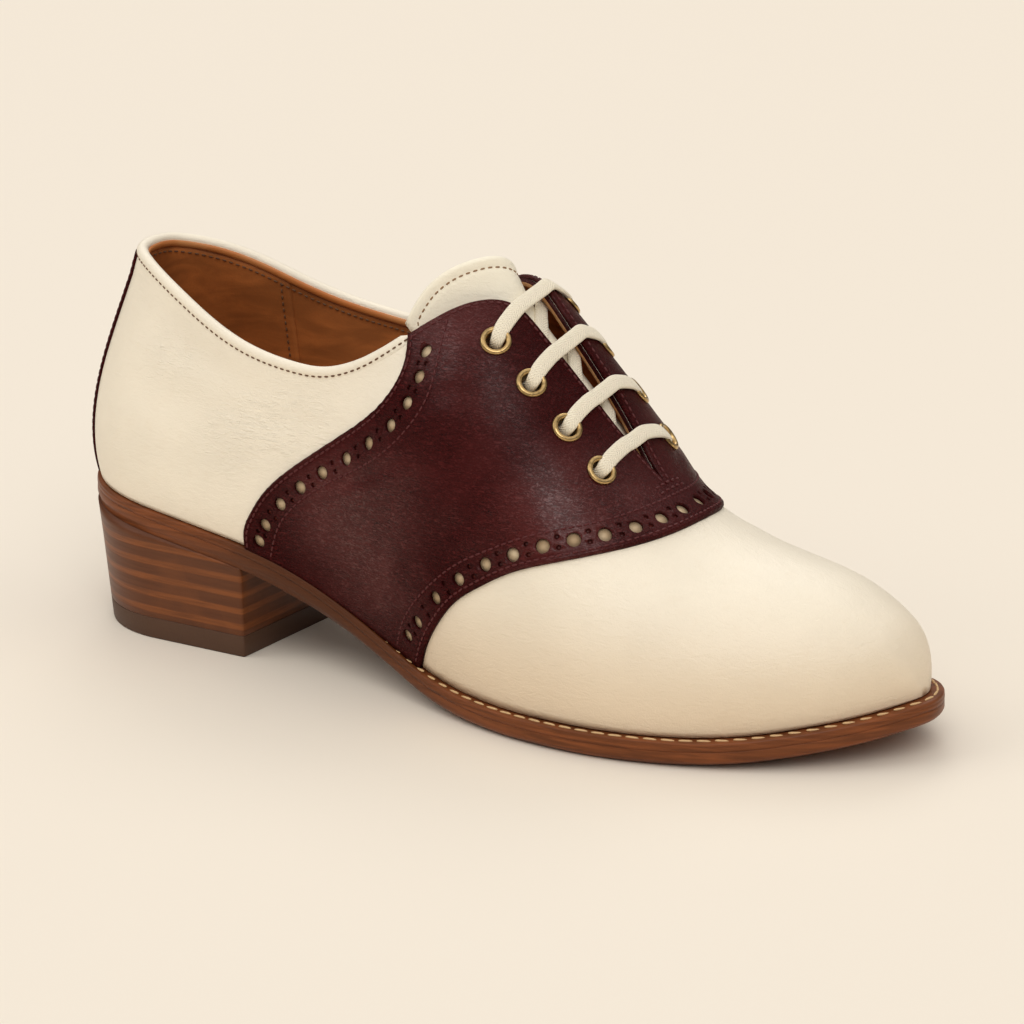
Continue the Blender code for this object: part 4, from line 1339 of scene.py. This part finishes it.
def make_saddle():
    """Saddle overlay with folded edges, stitched bands and punched holes."""
    size = sizes()
    all_points = []
    all_faces = []
    all_finishes = []
    for side in (-1, 1):
        place, height, share, throat = saddle_grid()
        base, normal = wall_frame(side, place, height)
        edge = np.minimum.reduce([distance_to(base, line) for line in saddle_outline(side)])
        bands = [wall(side, *curve_through(band, 300)) for band in (REAR_BAND, FRONT_BAND)]
        from_bands = np.minimum.reduce([distance_to(base, line) for line in bands])
        pinch = 0.16 * np.exp(-(((edge - 1.5) / 0.5) ** 2))
        pinch += 0.14 * np.exp(-((from_bands / 0.6) ** 2))
        thick = size["saddle"] * rounded(edge, 0.75) - pinch + relief(base) * rounded(edge, 2.5)
        outer = base + normal * (OVERLAY_GAP + np.maximum(thick, 0))[..., None]
        inner = base + normal * OVERLAY_GAP
        open_top = share[:-1, -1] <= throat - 1e-6
        first = sum(len(points) for points in all_points)
        points, faces, finishes = shell(outer, inner, first, top_open=open_top)
        if side > 0:
            faces = [face[::-1] for face in faces]
        all_points.append(points)
        all_faces += faces
        all_finishes += finishes
    names = ("burgundy_leather", "burgundy_edge", "burgundy_edge")
    finish_list = [material(name) for name in names]
    all_points = np.concatenate(all_points)
    saddle = finish_mesh("saddle_leather", all_points, all_faces, finish_list, all_finishes)
    large = REAR_PUNCHES + FRONT_PUNCHES
    small = small_spots(REAR_PUNCHES, 1.25) + small_spots(FRONT_PUNCHES, 1.4)
    # Discs of painted shade lie in the holes: darker tan in the large ones, dark red-brown in the
    # small ones.
    for name, marks, width, finish, lift in (
        ("large_punch_floors", large, size["large_punch"], "punch_floor", 0.35),
        ("small_punch_floors", small, size["small_punch"], "punch_dark", 0.75),
    ):
        source = row_mesh(name + "_spots", *spot_rows(marks, lift))
        form = cylinder_form(name + "_form", width - 0.06, 0.1, 14)
        ride(repeat_form(name, form, source, material(finish)), "cream_leather")
    cutters = [
        punch_cutter("large_punches", large, size["large_punch"], 5.0, 18, 1.0),
        punch_cutter("small_punches", small, size["small_punch"], 5.0, 10, 1.0),
        punch_cutter("eyelet_punches", EYELETS, EYELET_HOLE, 9.0, 20, 0),
    ]
    joined = bmesh.new()
    for cutter in cutters:
        joined.from_mesh(cutter.data)
        bpy.data.objects.remove(cutter)
    mesh = bpy.data.meshes.new("saddle_cutter")
    joined.to_mesh(mesh)
    joined.free()
    saddle = cut_with(saddle, new_object("saddle_cutter", mesh), "saddle_leather")
    return ride(saddle, "burgundy_leather", "saddle")


def make_backstay():
    """Strip over the back seam, with rounded edges, folded in under the collar roll."""
    heights = np.linspace(0.004, 0.985, 60)
    half = np.array([0, 3, 6, 9, 12, 14, 15, 15.5, 15.9, 16.2, 16.4, BACKSTAY_HALF])
    side, place, height = round_grid(half, heights)
    edge = BACKSTAY_HALF - place
    thick = sizes()["backstay"] * rounded(edge, 0.6) - 0.1 * np.exp(-(((edge - 1.4) / 0.5) ** 2))
    base, normal = wall_frame(side, place, height)
    outer = base + normal * (0.08 + np.maximum(thick, 0))[..., None]
    points, faces, _ = shell(outer, base + normal * 0.05, 0)
    backstay = finish_mesh("backstay_strip", points, faces, [material("burgundy_leather")])
    return ride(backstay, "burgundy_leather", "backstay")


# Sections of the collar's parts: distance out of the upper, and up from its rim
COLLAR_ROLL = np.array(
    [
        (-0.15, -1.9), (0.02, -1.3), (0.17, -0.9), (0.42, -0.5), (0.6, 0.1), (0.52, 0.75),
        (0.2, 1.3), (-0.4, 1.62), (-1.0, 1.72), (-1.6, 1.62), (-2.15, 1.3), (-2.45, 0.75),
        (-2.5, 0.1), (-2.4, -0.5), (-2.2, -1.0), (-1.2, -2.0),
    ]
)
LINING_FOLD = np.array(
    [
        (-2.3, 0.3), (-2.75, 0.45), (-3.1, 0.2), (-3.2, -0.5), (-3.1, -1.3), (-2.7, -1.6),
        (-2.1, -1.4),
    ]
)


def collar_frame(places, side):
    """Rim points of the collar with their way up off the rim and their way out."""
    side = np.full(len(places), float(side))
    rim, out = wall_frame(side, places, 1.0)
    run = top_line(side, places + 0.3) - top_line(side, np.maximum(places - 0.3, 0))
    up = unit(np.cross(run, out) * side[:, None])
    return rim, out, up


def make_collar():
    """Rolled binding round the collar, and the folded edge of the lining inside it."""
    places = np.linspace(0.4, 131.6, 150)
    near = [row[::-1] for row in collar_frame(places, -1)]
    rim, out, up = (np.concatenate(rows) for rows in zip(near, collar_frame(places, 1)))
    count = len(rim)
    fade = np.clip(np.minimum(np.arange(count), np.arange(count)[::-1]) / 3, 0.25, 1)
    for name, section, finish, slot, nodes in (
        ("collar_roll", COLLAR_ROLL, "cream_leather", "cream_leather", ["collar_binding"]),
        ("lining_fold", LINING_FOLD, "lining_edge", "tan_leather", []),
    ):
        middle = section.mean(0)
        scaled = middle + (section - middle) * fade[:, None, None]
        away, high = np.moveaxis(scaled, -1, 0)[..., None]
        points = rim[:, None] + out[:, None] * away + up[:, None] * high
        faces = tube_faces(count, len(section))
        piece = finish_mesh(name, points.reshape(-1, 3), faces, [material(finish)])
        ride(piece, slot, *nodes)
    row = rim + out * 0.26 - up * 0.85
    spacing, form = sizes()["collar_stitch"], (1.2, 0.55, 0.5)
    row, facing = [row[2:-2]], [out[2:-2]]
    stitches = stitch_line("collar_stitches", row, facing, spacing, form, "dark_thread", 0.05)
    return ride(stitches, "cream_leather")


def make_lining():
    """Lining in two parts that overlap at the seam, over the upper's inner side."""
    for label, low, high, count, depth in (
        ("heel", 0.0, LINING_SEAM + 1.2, 44, 2.55),
        ("quarter", LINING_SEAM, 150.0, 50, 2.3),
    ):
        places, heights = np.linspace(low, high, count), np.linspace(0.03, 0.985, 30)
        place, height = np.meshgrid(places, heights, indexing="ij")
        for side in (-1, 1):
            base, normal = wall_frame(side, place, height)
            soft = 0.25 * np.sin(place * 0.21 + side) * np.sin(height * 5 + side)
            outer = base - normal * 1.9
            inner = base - normal * (depth + soft * 0.6)[..., None]
            points, faces, _ = shell(outer, inner, 0)
            name = f"lining_{label}_" + ("outer" if side < 0 else "inner")
            lining = finish_mesh(name, points, faces, [material("lining_leather")])
            ride(lining, "tan_leather")
    height = np.linspace(0.12, 0.95, 60)
    place = np.linspace(2, 130, 160)
    rows = [(side, np.full(60, LINING_SEAM - 1.6), height) for side in (-1, 1)]
    rows += [(side, *beside(side, place, np.full(160, 0.998), 3.0, side)) for side in (-1, 1)]
    spacing = sizes()["collar_stitch"]
    form = (1.2, 0.5, 0.5)
    stitches = stitch_rows("lining_stitches", rows, -2.75, spacing, form, "dark_thread")
    return ride(stitches, "tan_leather")


def tongue_surface(count, columns):
    """Points and normals of the tongue's outer face, and the line of its edge."""
    rows = np.array(TONGUE)
    along = np.r_[0, np.cumsum(np.hypot(np.diff(rows[:, 0]), np.diff(rows[:, 1])))]
    x_at, z_at, half_at, back_at, far_back_at = (spline(along, rows[:, k]) for k in range(5))
    share = np.linspace(-1, 1, columns)
    from_peak = share + 0.35
    left = 7.0 * np.abs(from_peak / 0.65) ** 2.6
    right = 14.0 * np.abs(from_peak / 1.35) ** 1.6
    end = np.interp(TONGUE_TOP, rows[:, 1], along) - np.where(from_peak < 0, left, right)
    rise = 1 - (1 - np.linspace(0, 1, count)) ** 1.5
    mark = end[None] * rise[:, None]
    x, z = x_at(mark), z_at(mark)
    run = unit(np.stack([x_at(mark + 0.1) - x, 0 * x, z_at(mark + 0.1) - z], -1))
    down = np.cross(run, [0, 1, 0])
    share = share[None] + 0 * mark
    back = np.where(share < 0, back_at(mark), far_back_at(mark)) * share**2
    centre = np.interp(x, [row.x for row in SECTIONS], [row.top_y for row in SECTIONS])
    points = np.stack([x, centre + half_at(mark) * share, z], -1) + down * back[..., None]
    normal = unit(np.cross(np.gradient(points, axis=1), np.gradient(points, axis=0)))
    edge = np.concatenate([points[:-1, 0], points[-1], points[-2::-1, -1]])
    return points, normal, edge


def inside_row(points, normal, distance, wanted):
    """Row on a grid that keeps the wanted distance from its edge, with the way it faces."""
    found = []
    lines = [(slice(None), k) for k in range(points.shape[1])]
    lines += [(i, slice(None)) for i in range(points.shape[0])]
    for line in lines:
        value = distance[line]
        cross = np.nonzero((value[:-1] - wanted) * (value[1:] - wanted) < 0)[0]
        for j in cross:
            t = (wanted - value[j]) / (value[j + 1] - value[j])
            here = points[line][j] * (1 - t) + points[line][j + 1] * t
            found.append(np.r_[here, normal[line][j]])
    return np.array(found)


def chained(found, start, reach):
    """The found points in order, each next one the nearest, from the one nearest to the start."""
    left = list(range(len(found)))
    here = min(left, key=lambda k: np.linalg.norm(found[k, :3] - start))
    order = [here]
    left.remove(here)
    while left:
        gaps = np.linalg.norm(found[left, :3] - found[order[-1], :3], axis=1)
        nearest = int(np.argmin(gaps))
        if gaps[nearest] > reach:
            break
        order.append(left.pop(nearest))
    return found[order]


def make_tongue():
    """Tongue with a rounded end, a stitched edge and a padded feel."""
    points, normal, edge_line = tongue_surface(120, 61)
    edge = distance_to(points, smooth_path(edge_line, 1400))
    size = sizes()
    pinch = 0.22 * np.exp(-(((edge - TONGUE_STITCHES) / 0.7) ** 2))
    round_edge = rounded(edge, 1.0)
    outer = points + normal * (TONGUE_CORE * round_edge - TONGUE_CORE - pinch)[..., None]
    inner_depth = TONGUE_CORE + (size["tongue"] - TONGUE_CORE) * round_edge
    inner = points - normal * inner_depth[..., None]
    shell_points, faces, _ = shell(outer, inner, 0)
    tongue = finish_mesh("tongue_leather", shell_points, faces, [material("tongue_leather")])
    ride(tongue, "cream_leather", "tongue")
    found = inside_row(points, normal, edge, TONGUE_STITCHES)
    found = found[found[:, 2] > TONGUE_STITCHES_FROM]
    row = chained(found, found[np.argmin(found[:, 1] + 0.5 * found[:, 2]), :3], 4.0)
    row, facing = [row[:, :3] - row[:, 3:] * 0.2], [row[:, 3:]]
    spacing, form = size["collar_stitch"], (1.25, 0.5, 0.5)
    stitches = stitch_line("tongue_stitches", row, facing, spacing, form, "tan_thread", 0.06)
    return ride(stitches, "cream_leather")


def sole_point(side, place, margin, below):
    """Points beside the feather line and below it, never under the floor."""
    points = feather(side, place) + outward(side, place) * np.asarray(margin)[..., None]
    points[..., 2] = np.maximum(points[..., 2] - below, 0.0)
    return points


def sole_margin(place):
    """How far the sole's edge stands out past the feather line."""
    return np.interp(COLUMN["x"](place), *np.array(EDGES).T)


def sole_loop(extra, below, inset=None):
    """Closed loop round the shoe: past the sole's edge by an extra, or inset from the feather."""
    place = even_places(1.5)
    forward = np.clip((COLUMN["x"](place) - 45) / 35, 0, 1)
    extra = max(extra, -0.5) + min(extra + 0.5, 0) * forward
    margin = sole_margin(place) + extra if inset is None else np.full(len(place), -inset)
    outer = sole_point(-1, place, margin, below)
    inner = sole_point(1, place, margin, below)
    return np.concatenate([outer, inner[-2:0:-1]])


def strip_faces(count, first, flip=False):
    """Faces across a closed loop, from one side of the shoe to the other."""
    faces = []
    for i in range(count // 2):
        corners = (i, i + 1, (count - i - 1) % count, (count - i) % count)
        face = tuple(dict.fromkeys(first + corner for corner in corners))
        faces.append(face[::-1] if flip else face)
    return faces


def sole_part(section, closed_ring=False):
    """Points and faces of a part of the sole, capped across or closed into a ring."""
    loops = [sole_loop(*row) for row in section]
    count = len(loops[0])
    faces = ring_faces(len(loops), count, closed_ring)
    if not closed_ring:
        faces += strip_faces(count, 0, flip=True) + strip_faces(count, (len(loops) - 1) * count)
    return np.concatenate(loops), faces


def make_sole():
    """Welt, outsole and insole with their edges dressed."""
    for name, section, ring, finish, slot, node in (
        ("welt_strip", WELT_SECTION, True, "sole_edge", "sole_leather", "welt"),
        ("outsole_leather", OUTSOLE_SECTION, False, "sole_edge", "sole_leather", "outsole"),
        ("insole_sock", SOCK_SECTION, False, "lining_leather", "tan_leather", "insole"),
    ):
        points, faces = sole_part(section, ring)
        ride(finish_mesh(name, points, faces, [material(finish)]), slot, node)
    place = np.linspace(88, TOE_PLACE, 320)
    outer, inner = (sole_point(side, place, sole_margin(place) * 0.5, 0.28) for side in (-1, 1))
    row = np.concatenate([outer, inner[-2::-1]])
    facing = np.tile([0.0, 0.0, 1.0], (len(row), 1))
    spacing, form = sizes()["welt_stitch"], (3.7, 0.75, 0.75)
    stitches = stitch_line("welt_stitches", [row], [facing], spacing, form, "welt_thread", 0.07)
    return ride(stitches, "sole_leather")


def heel_outline(height):
    """Outline of the stacked heel at a height, with a soft corner at each end of the breast."""
    share = height / HEEL_HEIGHT
    radius = 27.9 + (29.3 - 27.9) * share
    centre = -2.7 + (-5.2 + 2.7) * share
    breast = 28.0
    angle = np.pi / 2 + np.linspace(0, np.pi, 49)
    outline = [(centre + radius * math.cos(a), radius * math.sin(a)) for a in angle]
    low, high = -radius + 0.4, radius - 2.2
    side = np.linspace(centre, 27.0, 12)
    outline += [(x, -radius + 0.4 * (x - centre) / (breast - centre)) for x in side[1:]]
    outline += [(27.6, low + 0.12), (27.9, low + 0.4)]
    outline += [(breast, y) for y in np.linspace(low + 1, high - 1, 24)]
    outline += [(27.9, high - 0.4), (27.6, high - 0.12)]
    outline += [(x, radius - 2.2 * (x - centre) / (breast - centre)) for x in side[:0:-1]]
    return np.array(outline)


def heel_loop(height, inset=0.0):
    """Loop of the heel at a height, drawn in by an inset."""
    outline = heel_outline(height)
    run = unit(np.roll(outline, -1, axis=0) - np.roll(outline, 1, axis=0))
    inward = np.stack([-run[:, 1], run[:, 0]], -1)
    middle = outline.mean(0)
    inward *= np.sign(((middle - outline) * inward).sum(-1, keepdims=True))
    outline = outline + inward * inset
    return np.c_[outline, np.full(len(outline), height)]


def heel_seat(x):
    """Height of the sole's underside over the heel."""
    places = np.linspace(0.2, 140, 160)
    return np.interp(x, COLUMN["x"](places), COLUMN["z"](places) - SOLE_DEPTH - 0.02)


def make_heel():
    """Stack of lifts with light joints, and the top piece that meets the floor."""
    top_piece = [heel_loop(height, inset) for height, inset in TOP_PIECE_SECTION]
    stack = [heel_loop(6.02, 0.12), heel_loop(6.25)]
    stack += [heel_loop(height) for height in np.linspace(8, 24, 9)]
    previous, last = stack[-1], heel_loop(HEEL_HEIGHT)
    for share in (0.33, 0.66, 1.0):
        ring = previous * (1 - share) + last * share
        ring[:, 2] = previous[:, 2] * (1 - share) + heel_seat(last[:, 0]) * share
        stack.append(ring)
    lifts = [f"heel_lift_{i}" for i in range(1, 5)]
    for name, loops, seated, finish, slot, nodes in (
        ("heel_top_piece", top_piece, False, "top_piece", "top_piece_rubber", ["top_piece"]),
        ("heel_stack", stack, True, "heel_stack", "heel_leather", [*lifts, "heel_wedge"]),
    ):
        ground = np.array([0.0, 0.0, loops[0][0, 2]])
        below = [loops[0] * (1 - share) + ground * share for share in (0.98, 0.6, 0.3)]
        above = []
        for share in (0.3, 0.6, 0.98):
            ring = loops[-1] * (1 - share)
            ring[:, 2] = heel_seat(ring[:, 0]) if seated else loops[-1][:, 2]
            above.append(ring)
        loops = below + loops + above
        faces = tube_faces(len(loops), len(loops[0]))
        piece = finish_mesh(name, np.concatenate(loops), faces, [material(finish)])
        ride(piece, slot, *nodes)
    return piece


def ring_form():
    """Brass eyelet ring, turned round its axis."""
    sides = 28
    points = []
    for k in range(sides):
        angle = 2 * math.pi * k / sides
        points += [(r * math.cos(angle), r * math.sin(angle), z) for r, z in RING_SECTION]
    faces = ring_faces(sides, len(RING_SECTION), closed=True)
    return finish_mesh("ring_form", points, faces, [material("aged_brass")])


def make_eyelets():
    """Eight eyelets, one form set at each place."""
    source = row_mesh("eyelet_spots", *spot_rows(EYELETS, 0))
    rings = repeat_form("eyelet_rings", ring_form(), source, material("aged_brass"))
    nodes = [f"eyelet_{side}_{i}" for side in ("outer", "inner") for i in range(1, 5)]
    return ride(rings, "aged_brass", *nodes)


def bar_path(spot):
    """Path of one visible bar: up out of one eyelet, over both facings and into the other."""
    near, near_normal = wall_frame(-1, spot.place, spot.height)
    far, far_normal = wall_frame(1, spot.place, spot.height)
    along = unit(top_line(-1, spot.place + 1) - top_line(-1, spot.place - 1))
    toward = unit(far - near)
    path = [near - near_normal * 1.7, near + near_normal * 0.9 + toward * 0.5]
    for side, steps in ((-1, BAR_LIFTS), (1, BAR_LIFTS[::-1])):
        for share, lift in steps:
            path.append(off_wall(side, spot.place, spot.height + (1 - spot.height) * share, lift))
        if side < 0:
            over = off_wall(1, spot.place, 1.0, BAR_LIFTS[-1][1]) - path[-1]
            path += [path[-1] + over * share for share in (0.2, 0.4, 0.6, 0.8)]
    path += [far + far_normal * 0.9 - toward * 0.5, far - far_normal * 1.7]
    return smooth_path(path, 64), along


def add_lace(name, path, along, widths, thicks, sides, *nodes):
    """Stretch of flat lace along a path, lying flat along the shoe."""
    across = np.tile(along, (len(path), 1))
    points, faces, uv = sweep(path, across, widths, thicks, sides)
    piece = finish_mesh(name, points, faces, [material("woven_lace")], None, uv)
    return ride(piece, "lace_cotton", *nodes)


def make_lace():
    """Four bars of flat lace through the eyelets, and the hidden crossings under the facings."""
    width = sizes()["lace"]
    end_width = 3.3
    for index, spot in enumerate(EYELETS):
        path, along = bar_path(spot)
        share = np.linspace(0, 1, len(path))
        free = np.clip(np.minimum(share, 1 - share) / 0.16, 0, 1)
        free = free * free * (3 - 2 * free)
        widths = end_width + (width - end_width) * free
        node = f"lace_bar_{index + 1}"
        add_lace(node + "_woven", path, along, widths, 2.1 - 0.65 * free, 18, node)
    for index, (start, end) in enumerate(zip(EYELETS[:-1], EYELETS[1:])):
        path = []
        corners = ((1, start, 0.0), (1, start, 0.55), (-1, end, 0.55), (-1, end, 0.0))
        for side, spot, share in corners:
            height = spot.height + (1 - spot.height) * share
            path.append(off_wall(side, spot.place, height, -3.1))
        path = smooth_path(path, 30)
        along = unit(top_line(-1, end.place + 1) - top_line(-1, end.place - 1))
        name = f"lace_crossing_{index + 1}"
        crossing = add_lace(name, path, along, np.full(30, 4.2), np.full(30, 1.3), 12)
    return crossing


def make_stitching():
    """Stitches of the saddle and the backstay."""
    size = sizes()
    edge_rows, band_rows, tack_rows, back_rows = [], [], [], []
    height = np.linspace(0.02, 0.985, 220)
    top = np.linspace(SADDLE_REAR(1.0) + 1.5, THROAT_PLACE - 0.5, 200)
    for side in (-1, 1):
        edge_rows += [
            (side, *beside(side, SADDLE_REAR(height), height, 1.5, side)),
            (side, *beside(side, SADDLE_FRONT(height), height, 1.5, -side)),
            (side, *beside(side, top, np.full(200, 0.999), 1.5, side)),
        ]
        band_rows += [(side, *curve_through(band, 260)) for band in (REAR_BAND, FRONT_BAND)]
        back_rows.append((side, np.full(80, BACKSTAY_HALF - 1.4), np.linspace(0.03, 0.95, 80)))
    for place in (198.6, 200.0):
        tack_rows += [(side, np.full(20, place), np.linspace(0.935, 0.999, 20)) for side in (-1, 1)]
    lift = size["saddle"] - 0.02
    panel, back = size["stitch"], size["backstay"]
    for name, rows, up, spacing, form, turn in (
        ("saddle_stitches", edge_rows, lift, panel, (1.55, 0.66, 0.62), 0.09),
        ("band_stitches", band_rows, lift, panel, (1.55, 0.66, 0.62), 0.09),
        ("throat_tack", tack_rows, lift + 0.15, 1.7, (1.5, 0.7, 0.6), 0.3),
        ("backstay_stitches", back_rows, back, panel, (1.7, 0.5, 0.45), 0.05),
    ):
        piece = stitch_rows(name, rows, up, spacing, form, "red_thread", turn)
        ride(piece, "burgundy_leather")
    return piece


def make_stage():
    """Floor, soft light and the camera at the photo's angle."""
    scene = bpy.context.scene
    scene.view_settings.view_transform = "Standard"
    scene.view_settings.look = "None"
    mesh = bpy.data.meshes.new("floor")
    corners = [(x * FLOOR_HALF, y * FLOOR_HALF, 0) for x, y in ((-1, -1), (1, -1), (1, 1), (-1, 1))]
    mesh.from_pydata(corners, [], [(0, 1, 2, 3)])
    mesh.materials.append(material("plain_floor"))
    floor = new_object("floor", mesh)
    world = bpy.data.worlds.new("studio")
    world.use_nodes = True
    tree = world.node_tree
    way = add_node(tree, "ShaderNodeTexCoord", {}, {}).outputs["Generated"]
    up = add_node(tree, "ShaderNodeSeparateXYZ", {}, {"Vector": way}).outputs["Z"]
    glow = {"Value": up, "From Min": 0.2, "From Max": 0.85, "To Min": 0.12, "To Max": 0.95}
    glow = add_node(tree, "ShaderNodeMapRange", {"interpolation_type": "SMOOTHSTEP"}, glow)
    background = tree.nodes["Background"].inputs
    background["Color"].default_value = SKY_COLOUR
    join(tree, glow.outputs["Result"], background["Strength"])
    scene.world = world
    for name, toward, power, spread in LIGHTS:
        light = bpy.data.lights.new(name, "SUN")
        light.angle = math.radians(spread)
        light.energy = power
        light.color = LIGHT_COLOUR
        sun = new_object(name, light)
        sun.rotation_euler = Vector(toward).to_track_quat("Z", "Y").to_euler()
    azimuth, elevation = math.radians(AZIMUTH), math.radians(ELEVATION)
    level = math.cos(elevation)
    back = Vector((math.sin(azimuth) * level, -math.cos(azimuth) * level, math.sin(elevation)))
    camera = bpy.data.cameras.new("camera")
    camera.sensor_width = 36
    camera.lens = 36 * LENS
    camera.clip_start = 0.05
    camera.clip_end = 30
    scene.camera = new_object("camera", camera)
    scene.camera.location = Vector(TARGET) + back * DISTANCE
    scene.camera.rotation_euler = (-back).to_track_quat("-Z", "Y").to_euler()
    return scene.camera


def operator(label, title, maker):
    """Operator class that makes one piece or group of pieces."""

    class Made(bpy.types.Operator):
        bl_idname = f"saddle_shoe.{label}"
        bl_label = title
        bl_options = {"REGISTER", "UNDO"}
        __doc__ = maker.__doc__

        def execute(self, context):
            if maker() is None:
                raise RuntimeError(f"{title} was not made")
            return {"FINISHED"}

    Made.__name__ = "SADDLE_SHOE_OT_" + label
    return Made


OPERATORS = [
    operator("add_upper", "Add Upper", make_upper),
    operator("add_saddle", "Add Saddle", make_saddle),
    operator("add_backstay", "Add Backstay", make_backstay),
    operator("add_collar", "Add Collar", make_collar),
    operator("add_lining", "Add Lining", make_lining),
    operator("add_tongue", "Add Tongue", make_tongue),
    operator("add_sole", "Add Sole", make_sole),
    operator("add_heel", "Add Heel", make_heel),
    operator("add_eyelets", "Add Eyelets", make_eyelets),
    operator("add_lace", "Add Lace", make_lace),
    operator("add_stitching", "Add Stitching", make_stitching),
    operator("add_stage", "Add Stage", make_stage),
]


class SADDLE_SHOE_PT_panel(bpy.types.Panel):
    """Sidebar panel with the shoe's sizes, colours and steps."""

    bl_label = "Saddle Shoe"
    bl_idname = "SADDLE_SHOE_PT_panel"
    bl_space_type = "VIEW_3D"
    bl_region_type = "UI"
    bl_category = "Saddle Shoe"

    def draw(self, context):
        for group in (context.scene.saddle_shoe_sizes, context.scene.saddle_shoe_colours):
            column = self.layout.column(align=True)
            for name in type(group).__annotations__:
                column.prop(group, name)
        for step in OPERATORS:
            self.layout.operator(step.bl_idname)


CLASSES = [SaddleShoeSizes, SaddleShoeColours, *OPERATORS, SADDLE_SHOE_PT_panel]


def register():
    """Make the settings, operators and panel known."""
    for item in CLASSES:
        bpy.utils.register_class(item)
    bpy.types.Scene.saddle_shoe_sizes = PointerProperty(type=SaddleShoeSizes)
    bpy.types.Scene.saddle_shoe_colours = PointerProperty(type=SaddleShoeColours)


def unregister():
    """Take them away again."""
    del bpy.types.Scene.saddle_shoe_colours
    del bpy.types.Scene.saddle_shoe_sizes
    for item in reversed(CLASSES):
        bpy.utils.unregister_class(item)


def main():
    """Dress the whole shoe and note its size."""
    register()
    for step in OPERATORS:
        group, name = step.bl_idname.split(".")
        getattr(getattr(bpy.ops, group), name)()


if __name__ == "__main__":
    main()
